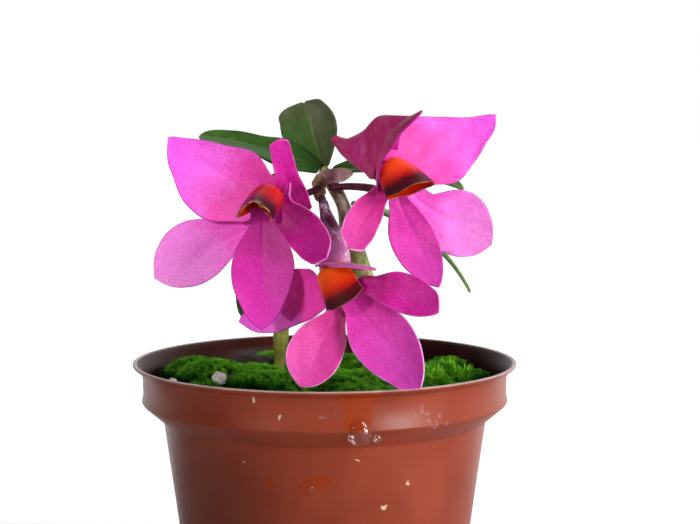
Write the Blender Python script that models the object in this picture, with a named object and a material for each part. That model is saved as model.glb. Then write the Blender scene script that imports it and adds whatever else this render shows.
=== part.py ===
"""A small dendrobium orchid in flower, in its plastic pot.

Every length below is in millimetres and is turned into metres by MM.
The origin is the middle of the pot's flat base, X runs to the viewer's right,
Y runs away from the viewer and Z is up.
"""
import math
import random

import bmesh
import bpy
from mathutils import Matrix, Vector

MM = 0.001
GAP = 0.3                 # clearance kept between neighbouring pieces
TOWARDS_VIEWER = Vector((0, -1, 0))
UP = Vector((0, 0, 1))

# Pot: a 7 cm nursery pot, moulded in thin plastic
POT_HEIGHT = 61.0
RIM_RADIUS = 35.0
RIM_THICKNESS = 0.9
COLLAR_RADIUS = 33.1      # the upright band under the rim
COLLAR_FOOT_RADIUS = 33.4
COLLAR_FOOT_Z = 54.0
SHOULDER_RADIUS = 29.4    # where the band's slanted underside meets the body
SHOULDER_Z = 50.0
BASE_RADIUS = 22.6
WALL = 0.9
FLOOR = 1.4
POT_SIDES = 64
DRAIN_HOLES = 6
DRAIN_RADIUS = 1.8
DRAIN_CIRCLE = 13.0

# Growing medium and the moss on it
MIX_TOP = 55.8
MOSS_FLOOR = MIX_TOP + GAP
MOSS_LEVEL = 58.4
MOSS_RADIUS = 31.6
MOSS_MOUNDS = (           # x, y, height, spread
    (-20, 10, 2.0, 8),
    (-14, -20, 1.3, 8),
    (-2, -20, 1.7, 9),
    (12, -22, 1.6, 7),
    (21, -8, 1.9, 7),
    (27, 4, 0.6, 5),
    (2, 14, 0.6, 9),
)
MOSS_HOLLOW = (-11, 10, 1.9, 5)
MOSS_TUFTS = 130
TUFT_SEED = 7

# Blades: petals, sepals and leaves
STATIONS = (0.0, 0.25, 0.5, 0.75, 0.92, 1.0)
ROWS = (0.0, 0.13, 0.27, 0.42, 0.57, 0.72, 0.85, 0.94, 1.0)
COLUMNS = 6
BLADE_THICKNESS = 0.7
TIP_HALF = 0.25

COLOURS = {
    "terracotta_plastic": ((0.36, 0.085, 0.04), 0.35),
    "bark_mix": ((0.035, 0.02, 0.012), 0.95),
    "moss_green": ((0.07, 0.24, 0.02), 0.9),
    "perlite_white": ((0.75, 0.72, 0.66), 0.9),
    "cane_olive": ((0.24, 0.24, 0.05), 0.5),
    "leaf_green": ((0.05, 0.14, 0.025), 0.45),
    "dry_sheath": ((0.5, 0.33, 0.28), 0.8),
    "stalk_purple": ((0.06, 0.008, 0.015), 0.4),
    "petal_magenta": ((0.80, 0.12, 0.55), 0.45),
    "sepal_magenta": ((0.72, 0.08, 0.52), 0.45),
    "lip_orange": ((0.72, 0.08, 0.01), 0.35),
    "column_yellow": ((0.8, 0.45, 0.05), 0.4),
}

# Canes: points up the middle of each and the radius there
CANES = {
    "cane_flowering": (
        ((9.6, 0.5, 50.3), 1.3),
        ((9.6, 0.5, 59.0), 1.5),
        ((8.8, -2.0, 68.0), 2.0),
        ((6.6, -7.0, 77.0), 2.2),
        ((4.9, -9.5, 83.5), 1.9),
        ((3.4, -11.0, 90.0), 1.25),
        ((1.0, -11.4, 94.5), 1.1),
        ((-0.3, -11.2, 96.8), 0.8),
    ),
    "cane_old": (
        ((-8.4, 6.0, 50.3), 1.1),
        ((-8.4, 6.0, 59.0), 1.2),
        ((-8.2, 6.0, 66.0), 1.5),
        ((-7.6, 5.6, 74.0), 1.6),
        ((-7.2, 5.0, 80.5), 1.0),
    ),
}

# Each blade: root, tip, half widths at the stations on its two sides (the
# second side is the mirror one), bow of the middle towards the face, roll
# of the face about root-to-tip, and cup, the lift of the margins.
LEAVES = {
    "leaf_upright": dict(
        root=(0.0, -10.4, 97.6), tip=(-3.6, -6.2, 108.1),
        one=(1.0, 3.0, 4.4, 4.3, 3.2), other=(1.0, 4.4, 5.3, 5.2, 4.4),
        bow=-0.8, roll=0, cup=1.0, fold=0.9, notch=0.9, end=2.4),
    "leaf_strap": dict(
        root=(-1.4, -12.7, 97.2), tip=(-21.8, -11.0, 102.0),
        one=(1.2, 3.6, 2.9, 2.5, 1.8), other=(1.2, 4.6, 3.0, 2.5, 1.8),
        bow=1.3, roll=56, cup=0.3, fold=0.5, notch=0.0, end=0.9),
    "leaf_behind": dict(
        root=(1.5, -9.2, 96.0), tip=(25.0, -3.5, 92.4),
        one=(0.9, 2.8, 3.4, 2.8, 1.6), other=(0.9, 2.8, 3.4, 2.8, 1.6),
        bow=2.2, roll=-62, cup=0.4, fold=0.8, notch=0.0, end=0.8),
    "leaf_drooping": dict(
        root=(4.9, -9.5, 90.4), tip=(26.4, -2.0, 73.6),
        one=(0.8, 1.8, 2.4, 2.0, 1.2), other=(0.8, 1.8, 2.4, 2.0, 1.2),
        bow=3.0, roll=-84, cup=0.1, fold=0.3, notch=0.0, end=0.6),
    "leaf_lower": dict(
        root=(-9.0, 4.4, 80.2), tip=(-15.2, 2.5, 68.4),
        one=(0.9, 2.0, 2.5, 2.2, 1.2), other=(0.9, 2.0, 2.5, 2.2, 1.2),
        bow=1.8, roll=35, cup=0.6, fold=0.6, notch=0.0, end=0.5),
}

BLOOMS = {
    "left": dict(
        lateral_left=dict(
            root=(-11.6, -20.3, 91.5), tip=(-26.3, -19.0, 102.1),
            one=(5.4, 6.7, 4.8, 2.8, 1.0), other=(4.6, 7.7, 7.8, 5.3, 2.6),
            bow=-1.0, roll=-8, cup=1.0),
        lateral_right=dict(
            root=(-5.7, -20.4, 91.3), tip=(-7.1, -30.5, 102.6),
            one=(1.2, 3.2, 4.2, 4.4, 3.6), other=(2.4, 3.9, 4.4, 4.4, 3.6),
            bow=-0.6, roll=-64, cup=0.6, end=1.6),
        petal_left=dict(
            root=(-13.1, -18.4, 86.4), tip=(-29.4, -14.6, 77.5),
            one=(1.9, 4.6, 6.3, 5.4, 2.8), other=(1.4, 3.2, 4.7, 4.2, 2.2),
            bow=-0.8, roll=0, cup=0.9),
        dorsal=dict(
            root=(-10.2, -22.6, 87.6), tip=(-10.0, -27.0, 70.1),
            one=(1.9, 4.6, 5.3, 3.9, 2.0), other=(1.9, 4.9, 5.3, 3.6, 1.7),
            bow=-0.7, roll=0, cup=0.8),
        petal_right=dict(
            root=(-6.0, -25.2, 89.3), tip=(0.9, -34.0, 82.9),
            one=(2.6, 3.2, 3.4, 3.0, 2.0), other=(2.6, 3.4, 3.5, 3.0, 1.9),
            bow=-1.2, roll=8, cup=0.9),
        lip=dict(back=(-9.0, -22.7, 92.4), mouth=(-12.1, -27.2, 89.4),
                 facing=(-0.35, -0.5, -0.80), across=(1, 0, -0.15),
                 back_size=(2.5, 1.9), mouth_size=(3.4, 2.3)),
        mentum=(((-8.4, -19.8, 92.0), 4.0, 1.7), ((-7.4, -17.0, 94.0), 2.4, 1.7),
                ((-5.9, -15.2, 95.6), 1.2, 1.1), ((-5.0, -14.3, 96.6), 0.6, 0.6)),
        pedicel=((-2.4, -14.2, 92.6), (-5.0, -15.6, 91.4), (-8.0, -17.6, 89.6),
                 (-9.6, -20.4, 88.2)),
    ),
    "right": dict(
        lateral_right=dict(
            root=(16.4, -20.2, 97.0), tip=(29.4, -18.6, 105.9),
            one=(3.6, 5.8, 5.0, 3.2, 1.8), other=(4.0, 6.2, 4.4, 2.2, 0.9),
            bow=-0.8, roll=8, cup=0.8),
        lateral_left=dict(
            root=(9.8, -20.4, 94.6), tip=(16.4, -30.0, 106.6),
            one=(2.8, 4.4, 4.6, 3.2, 1.6), other=(2.8, 4.4, 4.6, 3.2, 1.6),
            bow=-2.6, roll=72, cup=2.4),
        petal_right=dict(
            root=(17.6, -19.6, 90.4), tip=(28.9, -18.8, 83.8),
            one=(2.4, 4.8, 5.4, 4.4, 2.4), other=(2.4, 5.2, 5.9, 4.6, 2.2),
            bow=-0.8, roll=0, cup=0.7),
        dorsal=dict(
            root=(13.0, -22.0, 91.0), tip=(19.6, -25.0, 77.1),
            one=(1.9, 4.0, 4.4, 3.3, 1.5), other=(1.7, 2.9, 3.2, 2.5, 1.2),
            bow=-0.9, roll=0, cup=0.7),
        petal_left=dict(
            root=(9.4, -22.6, 91.9), tip=(4.3, -33.0, 84.3),
            one=(1.9, 3.0, 3.2, 2.8, 2.0), other=(1.5, 2.4, 2.8, 2.6, 1.9),
            bow=-1.0, roll=-6, cup=0.8),
        lip=dict(back=(12.2, -22.6, 97.0), mouth=(15.6, -26.4, 93.2),
                 facing=(0.30, -0.42, -0.86), across=(1, 0, 0.2),
                 back_size=(2.6, 2.0), mouth_size=(3.2, 2.3)),
        mentum=(((10.3, -20.6, 99.8), 6.0, 1.8), ((6.9, -18.0, 99.8), 3.5, 2.1),
                ((4.4, -15.6, 100.2), 1.9, 1.5), ((2.9, -14.4, 101.0), 1.1, 1.0),
                ((1.6, -13.8, 101.9), 0.7, 0.7)),
        pedicel=((0.9, -14.4, 93.2), (4.6, -16.2, 93.6), (8.6, -18.4, 93.3),
                 (12.2, -20.4, 92.0)),
    ),
    "lower": dict(
        lateral_left=dict(
            root=(0.2, -22.9, 76.8), tip=(-14.6, -17.4, 70.3),
            one=(4.0, 5.2, 3.9, 2.2, 0.9), other=(3.0, 4.2, 4.4, 3.9, 2.2),
            bow=-0.8, roll=-8, cup=1.0),
        lateral_right=dict(
            root=(0.6, -26.4, 80.9), tip=(8.0, -36.4, 81.3),
            one=(3.4, 4.4, 4.6, 3.4, 1.6), other=(2.4, 4.0, 4.6, 3.4, 1.6),
            bow=-0.5, roll=80, cup=0.5),
        petal_left=dict(
            root=(2.2, -27.2, 72.2), tip=(-3.5, -32.6, 61.4),
            one=(2.0, 4.2, 5.0, 4.5, 2.4), other=(1.8, 3.6, 4.1, 3.4, 1.8),
            bow=-0.9, roll=0, cup=0.8),
        dorsal=dict(
            root=(5.6, -28.4, 74.6), tip=(16.1, -35.6, 61.7),
            one=(2.3, 4.9, 5.2, 3.8, 2.2), other=(2.6, 4.6, 5.1, 3.8, 1.8),
            bow=-1.2, roll=0, cup=0.8),
        petal_right=dict(
            root=(8.0, -29.4, 77.9), tip=(19.2, -32.4, 73.8),
            one=(1.7, 2.2, 2.4, 2.0, 1.0), other=(1.6, 3.8, 4.3, 3.6, 2.3),
            bow=-0.8, roll=-20, cup=0.9),
        lip=dict(back=(1.6, -28.2, 79.0), mouth=(4.2, -32.4, 74.8),
                 facing=(0.52, -0.14, -0.84), across=(1, 0, 0.66),
                 back_size=(2.6, 1.9), mouth_size=(3.3, 2.1)),
        mentum=(((1.0, -23.2, 77.0), 1.6, 1.2), ((2.0, -23.6, 80.6), 2.7, 1.8),
                ((1.8, -21.4, 84.0), 2.2, 1.9),
                ((0.9, -19.8, 87.6), 1.4, 1.4), ((0.1, -19.0, 90.3), 0.8, 0.8)),
        pedicel=((0.1, -14.8, 91.2), (1.5, -16.8, 86.0), (3.0, -20.2, 78.4),
                 (4.9, -26.2, 75.0)),
    ),
}

RACHIS = (((-0.4, -13.4, 95.4), 0.9), ((-0.7, -13.6, 94.0), 1.3),
          ((-0.8, -13.6, 92.4), 1.2), ((-0.9, -13.6, 91.2), 0.6))
PAPERY_BRACT = dict(
    root=(0.9, -13.0, 95.4), tip=(5.2, -14.2, 96.2),
    one=(0.8, 1.1, 1.2, 0.9, 0.5), other=(0.8, 1.1, 1.2, 0.9, 0.5),
    bow=0.3, roll=15, cup=0.3)
DRY_SHEATH = dict(
    root=(2.6, -13.2, 92.6), tip=(4.6, -13.4, 85.4),
    one=(0.4, 0.8, 0.8, 0.6, 0.4), other=(0.4, 0.8, 0.8, 0.6, 0.4),
    bow=0.3, roll=0, cup=0.2)
PERLITE = (("perlite_large", (-18.2, -15.0, 59.9), 1.25),
           ("perlite_small", (-26.6, -13.0, 59.0), 0.75))
BARK_CHIP = ((-13.6, 8.4, 59.3), (4.0, 2.6, 1.5))


def clear_scene():
    for old in list(bpy.data.objects):
        bpy.data.objects.remove(old, do_unlink=True)


def material(name):
    """The plain finish of one kind of piece, made once."""
    made = bpy.data.materials.get(name)
    if made:
        return made
    colour, roughness = COLOURS[name]
    made = bpy.data.materials.new(name)
    made.use_nodes = True
    shader = made.node_tree.nodes["Principled BSDF"]
    shader.inputs["Base Color"].default_value = (*colour, 1)
    shader.inputs["Roughness"].default_value = roughness
    shader.inputs["Metallic"].default_value = 0
    return made


def new_object(name, mesh_tool, finish):
    """Writes a bmesh, in millimetres, to an object in metres."""
    bmesh.ops.scale(mesh_tool, vec=(MM, MM, MM), verts=mesh_tool.verts)
    bmesh.ops.recalc_face_normals(mesh_tool, faces=mesh_tool.faces)
    mesh = bpy.data.meshes.new(name)
    mesh_tool.to_mesh(mesh)
    mesh_tool.free()
    piece = bpy.data.objects.new(name, mesh)
    bpy.context.scene.collection.objects.link(piece)
    mesh.materials.append(material(finish))
    mesh.shade_smooth()
    mesh.set_sharp_from_angle(angle=math.radians(50))
    return piece


def apply_boolean(piece, operation, others, solver="MANIFOLD"):
    """One Boolean against a collection of objects, which are then removed."""
    group = bpy.data.collections.new(piece.name + "_tools")
    bpy.context.scene.collection.children.link(group)
    for other in others:
        bpy.context.scene.collection.objects.unlink(other)
        group.objects.link(other)
    cut = piece.modifiers.new(operation.lower(), "BOOLEAN")
    cut.operation = operation
    cut.operand_type = "COLLECTION"
    cut.collection = group
    cut.solver = solver
    bpy.context.view_layer.update()
    shaped = piece.evaluated_get(bpy.context.evaluated_depsgraph_get())
    result = bpy.data.meshes.new_from_object(shaped)
    piece.modifiers.remove(cut)
    piece.data = result
    for other in others:
        bpy.data.objects.remove(other, do_unlink=True)
    bpy.data.collections.remove(group)
    return piece


def smooth_path(points, steps):
    """A curve through the points, with `steps` pieces between neighbours."""
    points = [Vector(point) for point in points]
    ends = [points[0] * 2 - points[1], *points, points[-1] * 2 - points[-2]]
    path = []
    for before, start, end, after in zip(ends, ends[1:], ends[2:], ends[3:]):
        for step in range(steps):
            t = step / steps
            path.append(0.5 * (
                2 * start + (end - before) * t
                + (2 * before - 5 * start + 4 * end - after) * t * t
                + (3 * start - before - 3 * end + after) * t ** 3))
    path.append(points[-1])
    return path


def smooth_value(values, places, place):
    """A smooth curve through values that stand at uneven places."""
    for index in range(len(places) - 1):
        if place <= places[index + 1]:
            break
    low, high = places[index], places[index + 1]
    span = high - low
    t = (place - low) / span

    def slope(at):
        first = max(at - 1, 0)
        last = min(at + 1, len(places) - 1)
        return (values[last] - values[first]) / (places[last] - places[first])

    return (values[index] * (2 * t ** 3 - 3 * t ** 2 + 1)
            + slope(index) * span * (t ** 3 - 2 * t ** 2 + t)
            + values[index + 1] * (3 * t ** 2 - 2 * t ** 3)
            + slope(index + 1) * span * (t ** 3 - t ** 2))


def ring_faces(mesh_tool, rings):
    """Joins neighbouring closed rings of vertices with four-sided faces."""
    for lower, upper in zip(rings, rings[1:]):
        count = len(lower)
        for index in range(count):
            after = (index + 1) % count
            mesh_tool.faces.new((lower[index], lower[after], upper[after], upper[index]))


def add_tube(mesh_tool, path, sizes, sides, across=None):
    """A closed tube: each point of the path carries a pair of half sizes."""
    rings = []
    for index, centre in enumerate(path):
        ahead = path[min(index + 1, len(path) - 1)]
        behind = path[max(index - 1, 0)]
        along = (ahead - behind).normalized()
        side = Vector(across) if across else along.cross(TOWARDS_VIEWER)
        side = (side - along * side.dot(along)).normalized()
        front = side.cross(along)
        one, other = sizes[index]
        ring = []
        for step in range(sides):
            turn = 2 * math.pi * step / sides
            offset = side * (one * math.cos(turn)) + front * (other * math.sin(turn))
            ring.append(mesh_tool.verts.new(centre + offset))
        rings.append(ring)
    ring_faces(mesh_tool, rings)
    mesh_tool.faces.new(rings[0])
    mesh_tool.faces.new(rings[-1])


def tube(name, points, radii, finish, sides=10, steps=3):
    path = smooth_path(points, steps)
    places = list(range(len(points)))
    sizes = []
    for index in range(len(path)):
        radius = smooth_value(radii, places, index / steps)
        sizes.append((radius, radius))
    mesh_tool = bmesh.new()
    add_tube(mesh_tool, path, sizes, sides)
    return new_object(name, mesh_tool, finish)


def turned(name, profile, finish, sides=POT_SIDES):
    """Spins an outline of radius and height about Z."""
    mesh_tool = bmesh.new()
    corners = [mesh_tool.verts.new((radius, 0, height)) for radius, height in profile]
    edges = [mesh_tool.edges.new(pair) for pair in zip(corners, corners[1:])]
    bmesh.ops.spin(mesh_tool, geom=corners + edges, cent=(0, 0, 0), axis=(0, 0, 1),
                   angle=2 * math.pi, steps=sides, use_merge=True)
    bmesh.ops.remove_doubles(mesh_tool, verts=mesh_tool.verts, dist=0.001)
    return new_object(name, mesh_tool, finish)


def upright_cylinder(name, centre, radius, low, high, finish, sides=16):
    mesh_tool = bmesh.new()
    bmesh.ops.create_cone(mesh_tool, cap_ends=True, segments=sides,
                          radius1=radius, radius2=radius, depth=high - low)
    middle = Vector((centre[0], centre[1], (low + high) / 2))
    bmesh.ops.translate(mesh_tool, vec=middle, verts=mesh_tool.verts)
    return new_object(name, mesh_tool, finish)


def blade_axes(root, tip, roll):
    """Directions along a blade, across it and out of its face."""
    along = (tip - root).normalized()
    across = along.cross(TOWARDS_VIEWER).normalized()
    turn = Matrix.Rotation(math.radians(roll), 3, along)
    across = turn @ across
    return along, across, across.cross(along)


def blade_surface(shape):
    """Middle surface of a blade: rows of points and the normal at each."""
    root = Vector(shape["root"])
    tip = Vector(shape["tip"])
    along, across, face = blade_axes(root, tip, shape["roll"])
    end = shape.get("end", TIP_HALF)
    widest = max(shape["one"] + shape["other"])
    rows = []
    for place in ROWS:
        rise = 4 * shape["bow"] * place * (1 - place)
        middle = root.lerp(tip, place) + face * rise
        row = []
        for column in range(COLUMNS + 1):
            side = 2 * column / COLUMNS - 1
            widths = shape["one"] if side > 0 else shape["other"]
            half = smooth_value([*widths, end], STATIONS, place)
            lift = half / widest * (shape["cup"] * side ** 2
                                    + shape.get("fold", 0) * abs(side))
            back = shape.get("notch", 0) * (1 - abs(side)) * place ** 6
            row.append(middle + across * (side * half) + face * lift - along * back)
        rows.append(row)
    return rows


def surface_normals(rows):
    normals = []
    for r, row in enumerate(rows):
        line = []
        for c in range(len(row)):
            down = rows[min(r + 1, len(rows) - 1)][c] - rows[max(r - 1, 0)][c]
            over = row[min(c + 1, len(row) - 1)] - row[max(c - 1, 0)]
            line.append(over.cross(down).normalized())
        normals.append(line)
    return normals


def add_blade(mesh_tool, shape, thickness=BLADE_THICKNESS):
    """A closed blade, split into the same triangles on both faces."""
    rows = blade_surface(shape)
    normals = surface_normals(rows)
    sheets = []
    for offset in (thickness / 2, -thickness / 2):
        sheet = []
        for row, line in zip(rows, normals):
            sheet.append([mesh_tool.verts.new(point + normal * offset)
                          for point, normal in zip(row, line)])
        sheets.append(sheet)
    front, back = sheets
    last_row = len(rows) - 1
    for r in range(last_row):
        for c in range(COLUMNS):
            for sheet, turn in ((front, 1), (back, -1)):
                a, b = sheet[r][c], sheet[r][c + 1]
                d, e = sheet[r + 1][c], sheet[r + 1][c + 1]
                mesh_tool.faces.new((a, b, e)[::turn])
                mesh_tool.faces.new((a, e, d)[::turn])
    rim = [(0, c) for c in range(COLUMNS)]
    rim += [(r, COLUMNS) for r in range(last_row)]
    rim += [(last_row, c) for c in range(COLUMNS, 0, -1)]
    rim += [(r, 0) for r in range(last_row, 0, -1)]
    for (r, c), (s, d) in zip(rim, rim[1:] + rim[:1]):
        mesh_tool.faces.new((front[r][c], back[r][c], back[s][d]))
        mesh_tool.faces.new((front[r][c], back[s][d], front[s][d]))


def blade(name, shape, finish):
    mesh_tool = bmesh.new()
    add_blade(mesh_tool, shape)
    return new_object(name, mesh_tool, finish)


def pot():
    """Thin moulded pot: rolled rim, upright band, tapered body, flat base."""
    outer = [
        (0, 0), (BASE_RADIUS - 1.2, 0), (BASE_RADIUS - 0.3, 0.4), (BASE_RADIUS, 1.2),
        (SHOULDER_RADIUS, SHOULDER_Z),
        (COLLAR_FOOT_RADIUS - 0.2, COLLAR_FOOT_Z - 0.3),
        (COLLAR_FOOT_RADIUS, COLLAR_FOOT_Z + 0.5),
        (COLLAR_RADIUS, COLLAR_FOOT_Z + 2.0),
        (COLLAR_RADIUS, POT_HEIGHT - RIM_THICKNESS - 0.5),
        (RIM_RADIUS - 1.1, POT_HEIGHT - RIM_THICKNESS),
        (RIM_RADIUS - 0.1, POT_HEIGHT - RIM_THICKNESS + 0.1),
        (RIM_RADIUS, POT_HEIGHT - RIM_THICKNESS / 2),
        (RIM_RADIUS - 0.2, POT_HEIGHT - 0.05),
    ]
    inner = [
        (RIM_RADIUS - 0.9, POT_HEIGHT),
        (RIM_RADIUS - 1.5, POT_HEIGHT - 0.2),
        (COLLAR_RADIUS - WALL, POT_HEIGHT - 1.6),
        (COLLAR_RADIUS - WALL, COLLAR_FOOT_Z + 0.6),
        (SHOULDER_RADIUS - WALL, SHOULDER_Z + 0.7),
        (BASE_RADIUS - WALL, FLOOR),
        (0, FLOOR),
    ]
    body = turned("pot", outer + inner, "terracotta_plastic")
    holes = []
    for index in range(DRAIN_HOLES):
        turn = 2 * math.pi * index / DRAIN_HOLES
        centre = (DRAIN_CIRCLE * math.cos(turn), DRAIN_CIRCLE * math.sin(turn))
        holes.append(upright_cylinder(f"drain_{index}", centre, DRAIN_RADIUS,
                                      -1, FLOOR + 1, "terracotta_plastic", 12))
    apply_boolean(body, "DIFFERENCE", holes)
    body.data.shade_smooth()
    body.data.set_sharp_from_angle(angle=math.radians(35))


def cane_holes(low, high):
    """Plain upright holes for the canes' feet."""
    holes = []
    for name, points in CANES.items():
        centre, radius = points[1]
        holes.append(upright_cylinder(name + "_hole", centre, radius + GAP + 0.15,
                                      low, high, "bark_mix"))
    return holes


def potting_mix():
    side = COLLAR_RADIUS - WALL - GAP
    profile = [
        (0, FLOOR + GAP), (BASE_RADIUS - WALL - GAP - 0.1, FLOOR + GAP),
        (SHOULDER_RADIUS - WALL - GAP, SHOULDER_Z + 0.7 + GAP),
        (side, COLLAR_FOOT_Z + 0.6 + GAP), (side, MIX_TOP), (0, MIX_TOP),
    ]
    mix = turned("potting_mix", profile, "bark_mix", 48)
    apply_boolean(mix, "DIFFERENCE", cane_holes(CANE_FOOT - GAP, MIX_TOP + 2))


def moss_height(x, y):
    """The moss cushion: mounds, a dark hollow and fine lumps."""
    height = MOSS_LEVEL
    for mound_x, mound_y, rise, spread in MOSS_MOUNDS:
        away = ((x - mound_x) ** 2 + (y - mound_y) ** 2) / spread ** 2
        height += rise * math.exp(-away)
    hollow_x, hollow_y, depth, spread = MOSS_HOLLOW
    away = ((x - hollow_x) ** 2 + (y - hollow_y) ** 2) / spread ** 2
    height -= depth * math.exp(-away)
    height += 0.25 * math.sin(x * 1.3 + math.cos(y * 0.9)) * math.cos(y * 1.2)
    edge = math.hypot(x, y) / MOSS_RADIUS
    return max(height - 0.9 * edge ** 8, MOSS_FLOOR + 0.7)


def cushion():
    """The body of the moss, a disc with a shaped top."""
    mesh_tool = bmesh.new()
    sides, circles = 40, 9
    rings = []
    for circle in range(circles, 0, -1):
        radius = MOSS_RADIUS * circle / circles
        ring = []
        for step in range(sides):
            turn = 2 * math.pi * (step + 0.5 * (circle % 2)) / sides
            x, y = radius * math.cos(turn), radius * math.sin(turn)
            ring.append(mesh_tool.verts.new((x, y, moss_height(x, y))))
        rings.append(ring)
    floor = [mesh_tool.verts.new((v.co.x, v.co.y, MOSS_FLOOR)) for v in rings[0]]
    ring_faces(mesh_tool, [floor] + rings)
    middle = mesh_tool.verts.new((0, 0, moss_height(0, 0)))
    for index in range(sides):
        mesh_tool.faces.new((rings[-1][index], rings[-1][(index + 1) % sides], middle))
    mesh_tool.faces.new(floor)
    return new_object("moss", mesh_tool, "moss_green")


def tuft(index, draw):
    """One small spike of moss, rooted in the cushion."""
    turn = draw.uniform(0, 2 * math.pi)
    out = (MOSS_RADIUS - 2.2) * math.sqrt(draw.random())
    x, y = out * math.cos(turn), out * math.sin(turn)
    tall = draw.uniform(1.2, 2.1)
    foot = Vector((x, y, moss_height(x, y) - 0.8))
    lean = Vector((draw.uniform(-0.5, 0.5), draw.uniform(-0.5, 0.5), 0))
    mesh_tool = bmesh.new()
    bmesh.ops.create_cone(mesh_tool, cap_ends=True, segments=3,
                          radius1=draw.uniform(0.6, 0.9), radius2=0.12, depth=tall)
    for vertex in mesh_tool.verts:
        if vertex.co.z > 0:
            vertex.co += lean
        vertex.co += foot + UP * (tall / 2)
    return new_object(f"tuft_{index}", mesh_tool, "moss_green")


def lump(name, centre, sizes, finish, extra=0.0, detail=2):
    """A rounded grain with a few soft corners."""
    mesh_tool = bmesh.new()
    bmesh.ops.create_icosphere(mesh_tool, subdivisions=detail, radius=1)
    for vertex in mesh_tool.verts:
        x, y, z = vertex.co
        grow = 1 + 0.10 * math.sin(5 * x + 2 * y) * math.cos(4 * z + x)
        for axis in range(3):
            vertex.co[axis] = vertex.co[axis] * (sizes[axis] * grow + extra) + centre[axis]
    return new_object(name, mesh_tool, finish)


def moss():
    cover = cushion()
    draw = random.Random(TUFT_SEED)
    apply_boolean(cover, "UNION", [tuft(index, draw) for index in range(MOSS_TUFTS)])
    cutters = cane_holes(MOSS_FLOOR - 1, MOSS_LEVEL + 8)
    for name, centre, radius in PERLITE:
        cutters.append(lump(name + "_seat", centre, (radius,) * 3, "moss_green", GAP))
    cutters.append(lump("bark_seat", *BARK_CHIP, "moss_green", GAP))
    apply_boolean(cover, "DIFFERENCE", cutters)


def grains():
    for name, centre, radius in PERLITE:
        lump(name, centre, (radius,) * 3, "perlite_white")
    lump("bark_chip", *BARK_CHIP, "bark_mix")


def canes():
    for name, points in CANES.items():
        tube(name, [point for point, radius in points],
             [radius for point, radius in points], "cane_olive")


def mentum(name, rings, finish):
    """The spur behind a bloom: a flattened cone with a blunt tip."""
    steps = 4
    path = smooth_path([centre for centre, tall, deep in rings], steps)
    places = list(range(len(rings)))
    sizes = []
    for index in range(len(path)):
        place = index / steps
        sizes.append((smooth_value([ring[1] for ring in rings], places, place),
                      smooth_value([ring[2] for ring in rings], places, place)))
    mesh_tool = bmesh.new()
    add_tube(mesh_tool, path, sizes, 12)
    return new_object(name, mesh_tool, finish)


def lateral_sepals(bloom, shapes):
    """Two broad sepals that grow from one spur, as one body."""
    spur = mentum(bloom + "_lateral_sepals", shapes["mentum"], "sepal_magenta")
    wings = [blade(bloom + "_wing_left", shapes["lateral_left"], "sepal_magenta"),
             blade(bloom + "_wing_right", shapes["lateral_right"], "sepal_magenta")]
    return apply_boolean(spur, "UNION", wings)


def lip(name, shape):
    """The folded lip: a short flared tube, closed behind and open in front."""
    back, mouth = Vector(shape["back"]), Vector(shape["mouth"])
    facing = Vector(shape["facing"]).normalized()
    start = (mouth - back).normalized()
    rings, steps, sides = [], 6, 16
    for wall in (0, BLADE_THICKNESS):
        line = []
        for step in range(steps + 1):
            place = step / steps
            if wall:
                place = 0.2 + 0.8 * place
            ahead = start.lerp(facing, place).normalized()
            side = Vector(shape["across"])
            side = (side - ahead * side.dot(ahead)).normalized()
            up = side.cross(ahead)
            open_out = math.sin(place * math.pi / 2)
            wide = shape["back_size"][0] + (shape["mouth_size"][0]
                                            - shape["back_size"][0]) * open_out - wall
            tall = shape["back_size"][1] + (shape["mouth_size"][1]
                                            - shape["back_size"][1]) * open_out - wall
            centre = back.lerp(mouth, place)
            line.append([centre + side * (wide * math.cos(turn)) + up * (tall * math.sin(turn))
                         for turn in (2 * math.pi * k / sides for k in range(sides))])
        rings.append(line)
    mesh_tool = bmesh.new()
    loops = [[mesh_tool.verts.new(point) for point in ring]
             for ring in rings[0] + rings[1][::-1]]
    ring_faces(mesh_tool, loops)
    mesh_tool.faces.new(loops[0])
    mesh_tool.faces.new(loops[-1])
    return new_object(name, mesh_tool, "lip_orange")


def column(name, shape):
    """The short column that stands inside the lip."""
    back, mouth = Vector(shape["back"]), Vector(shape["mouth"])
    start = back.lerp(mouth, 0.32)
    end = back.lerp(mouth, 0.72)
    path = [start.lerp(end, step / 4) for step in range(5)]
    size = min(shape["back_size"]) - BLADE_THICKNESS - GAP
    sizes = [(size * scale, size * scale) for scale in (0.6, 0.9, 1.0, 0.9, 0.6)]
    mesh_tool = bmesh.new()
    add_tube(mesh_tool, path, sizes, 10)
    return new_object(name, mesh_tool, "column_yellow")


def bloom(name, shapes):
    lateral_sepals(name, shapes)
    blade(name + "_dorsal_sepal", shapes["dorsal"], "sepal_magenta")
    blade(name + "_petal_left", shapes["petal_left"], "petal_magenta")
    blade(name + "_petal_right", shapes["petal_right"], "petal_magenta")
    lip(name + "_lip", shapes["lip"])
    column(name + "_column", shapes["lip"])
    tube(name + "_pedicel", shapes["pedicel"], (0.6, 0.62, 0.75, 0.9), "stalk_purple", 10)


def flower_stalk():
    tube("rachis", [point for point, radius in RACHIS],
         [radius for point, radius in RACHIS], "dry_sheath", 10)
    blade("papery_bract", PAPERY_BRACT, "dry_sheath")
    blade("dry_sheath", DRY_SHEATH, "dry_sheath")


CANE_FOOT = CANES["cane_old"][0][0][2]

clear_scene()
pot()
potting_mix()
moss()
grains()
canes()
for leaf_name, leaf_shape in LEAVES.items():
    blade(leaf_name, leaf_shape, "leaf_green")
flower_stalk()
for bloom_name, bloom_shapes in BLOOMS.items():
    bloom(bloom_name, bloom_shapes)
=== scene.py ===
# %% [markdown]
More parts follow.
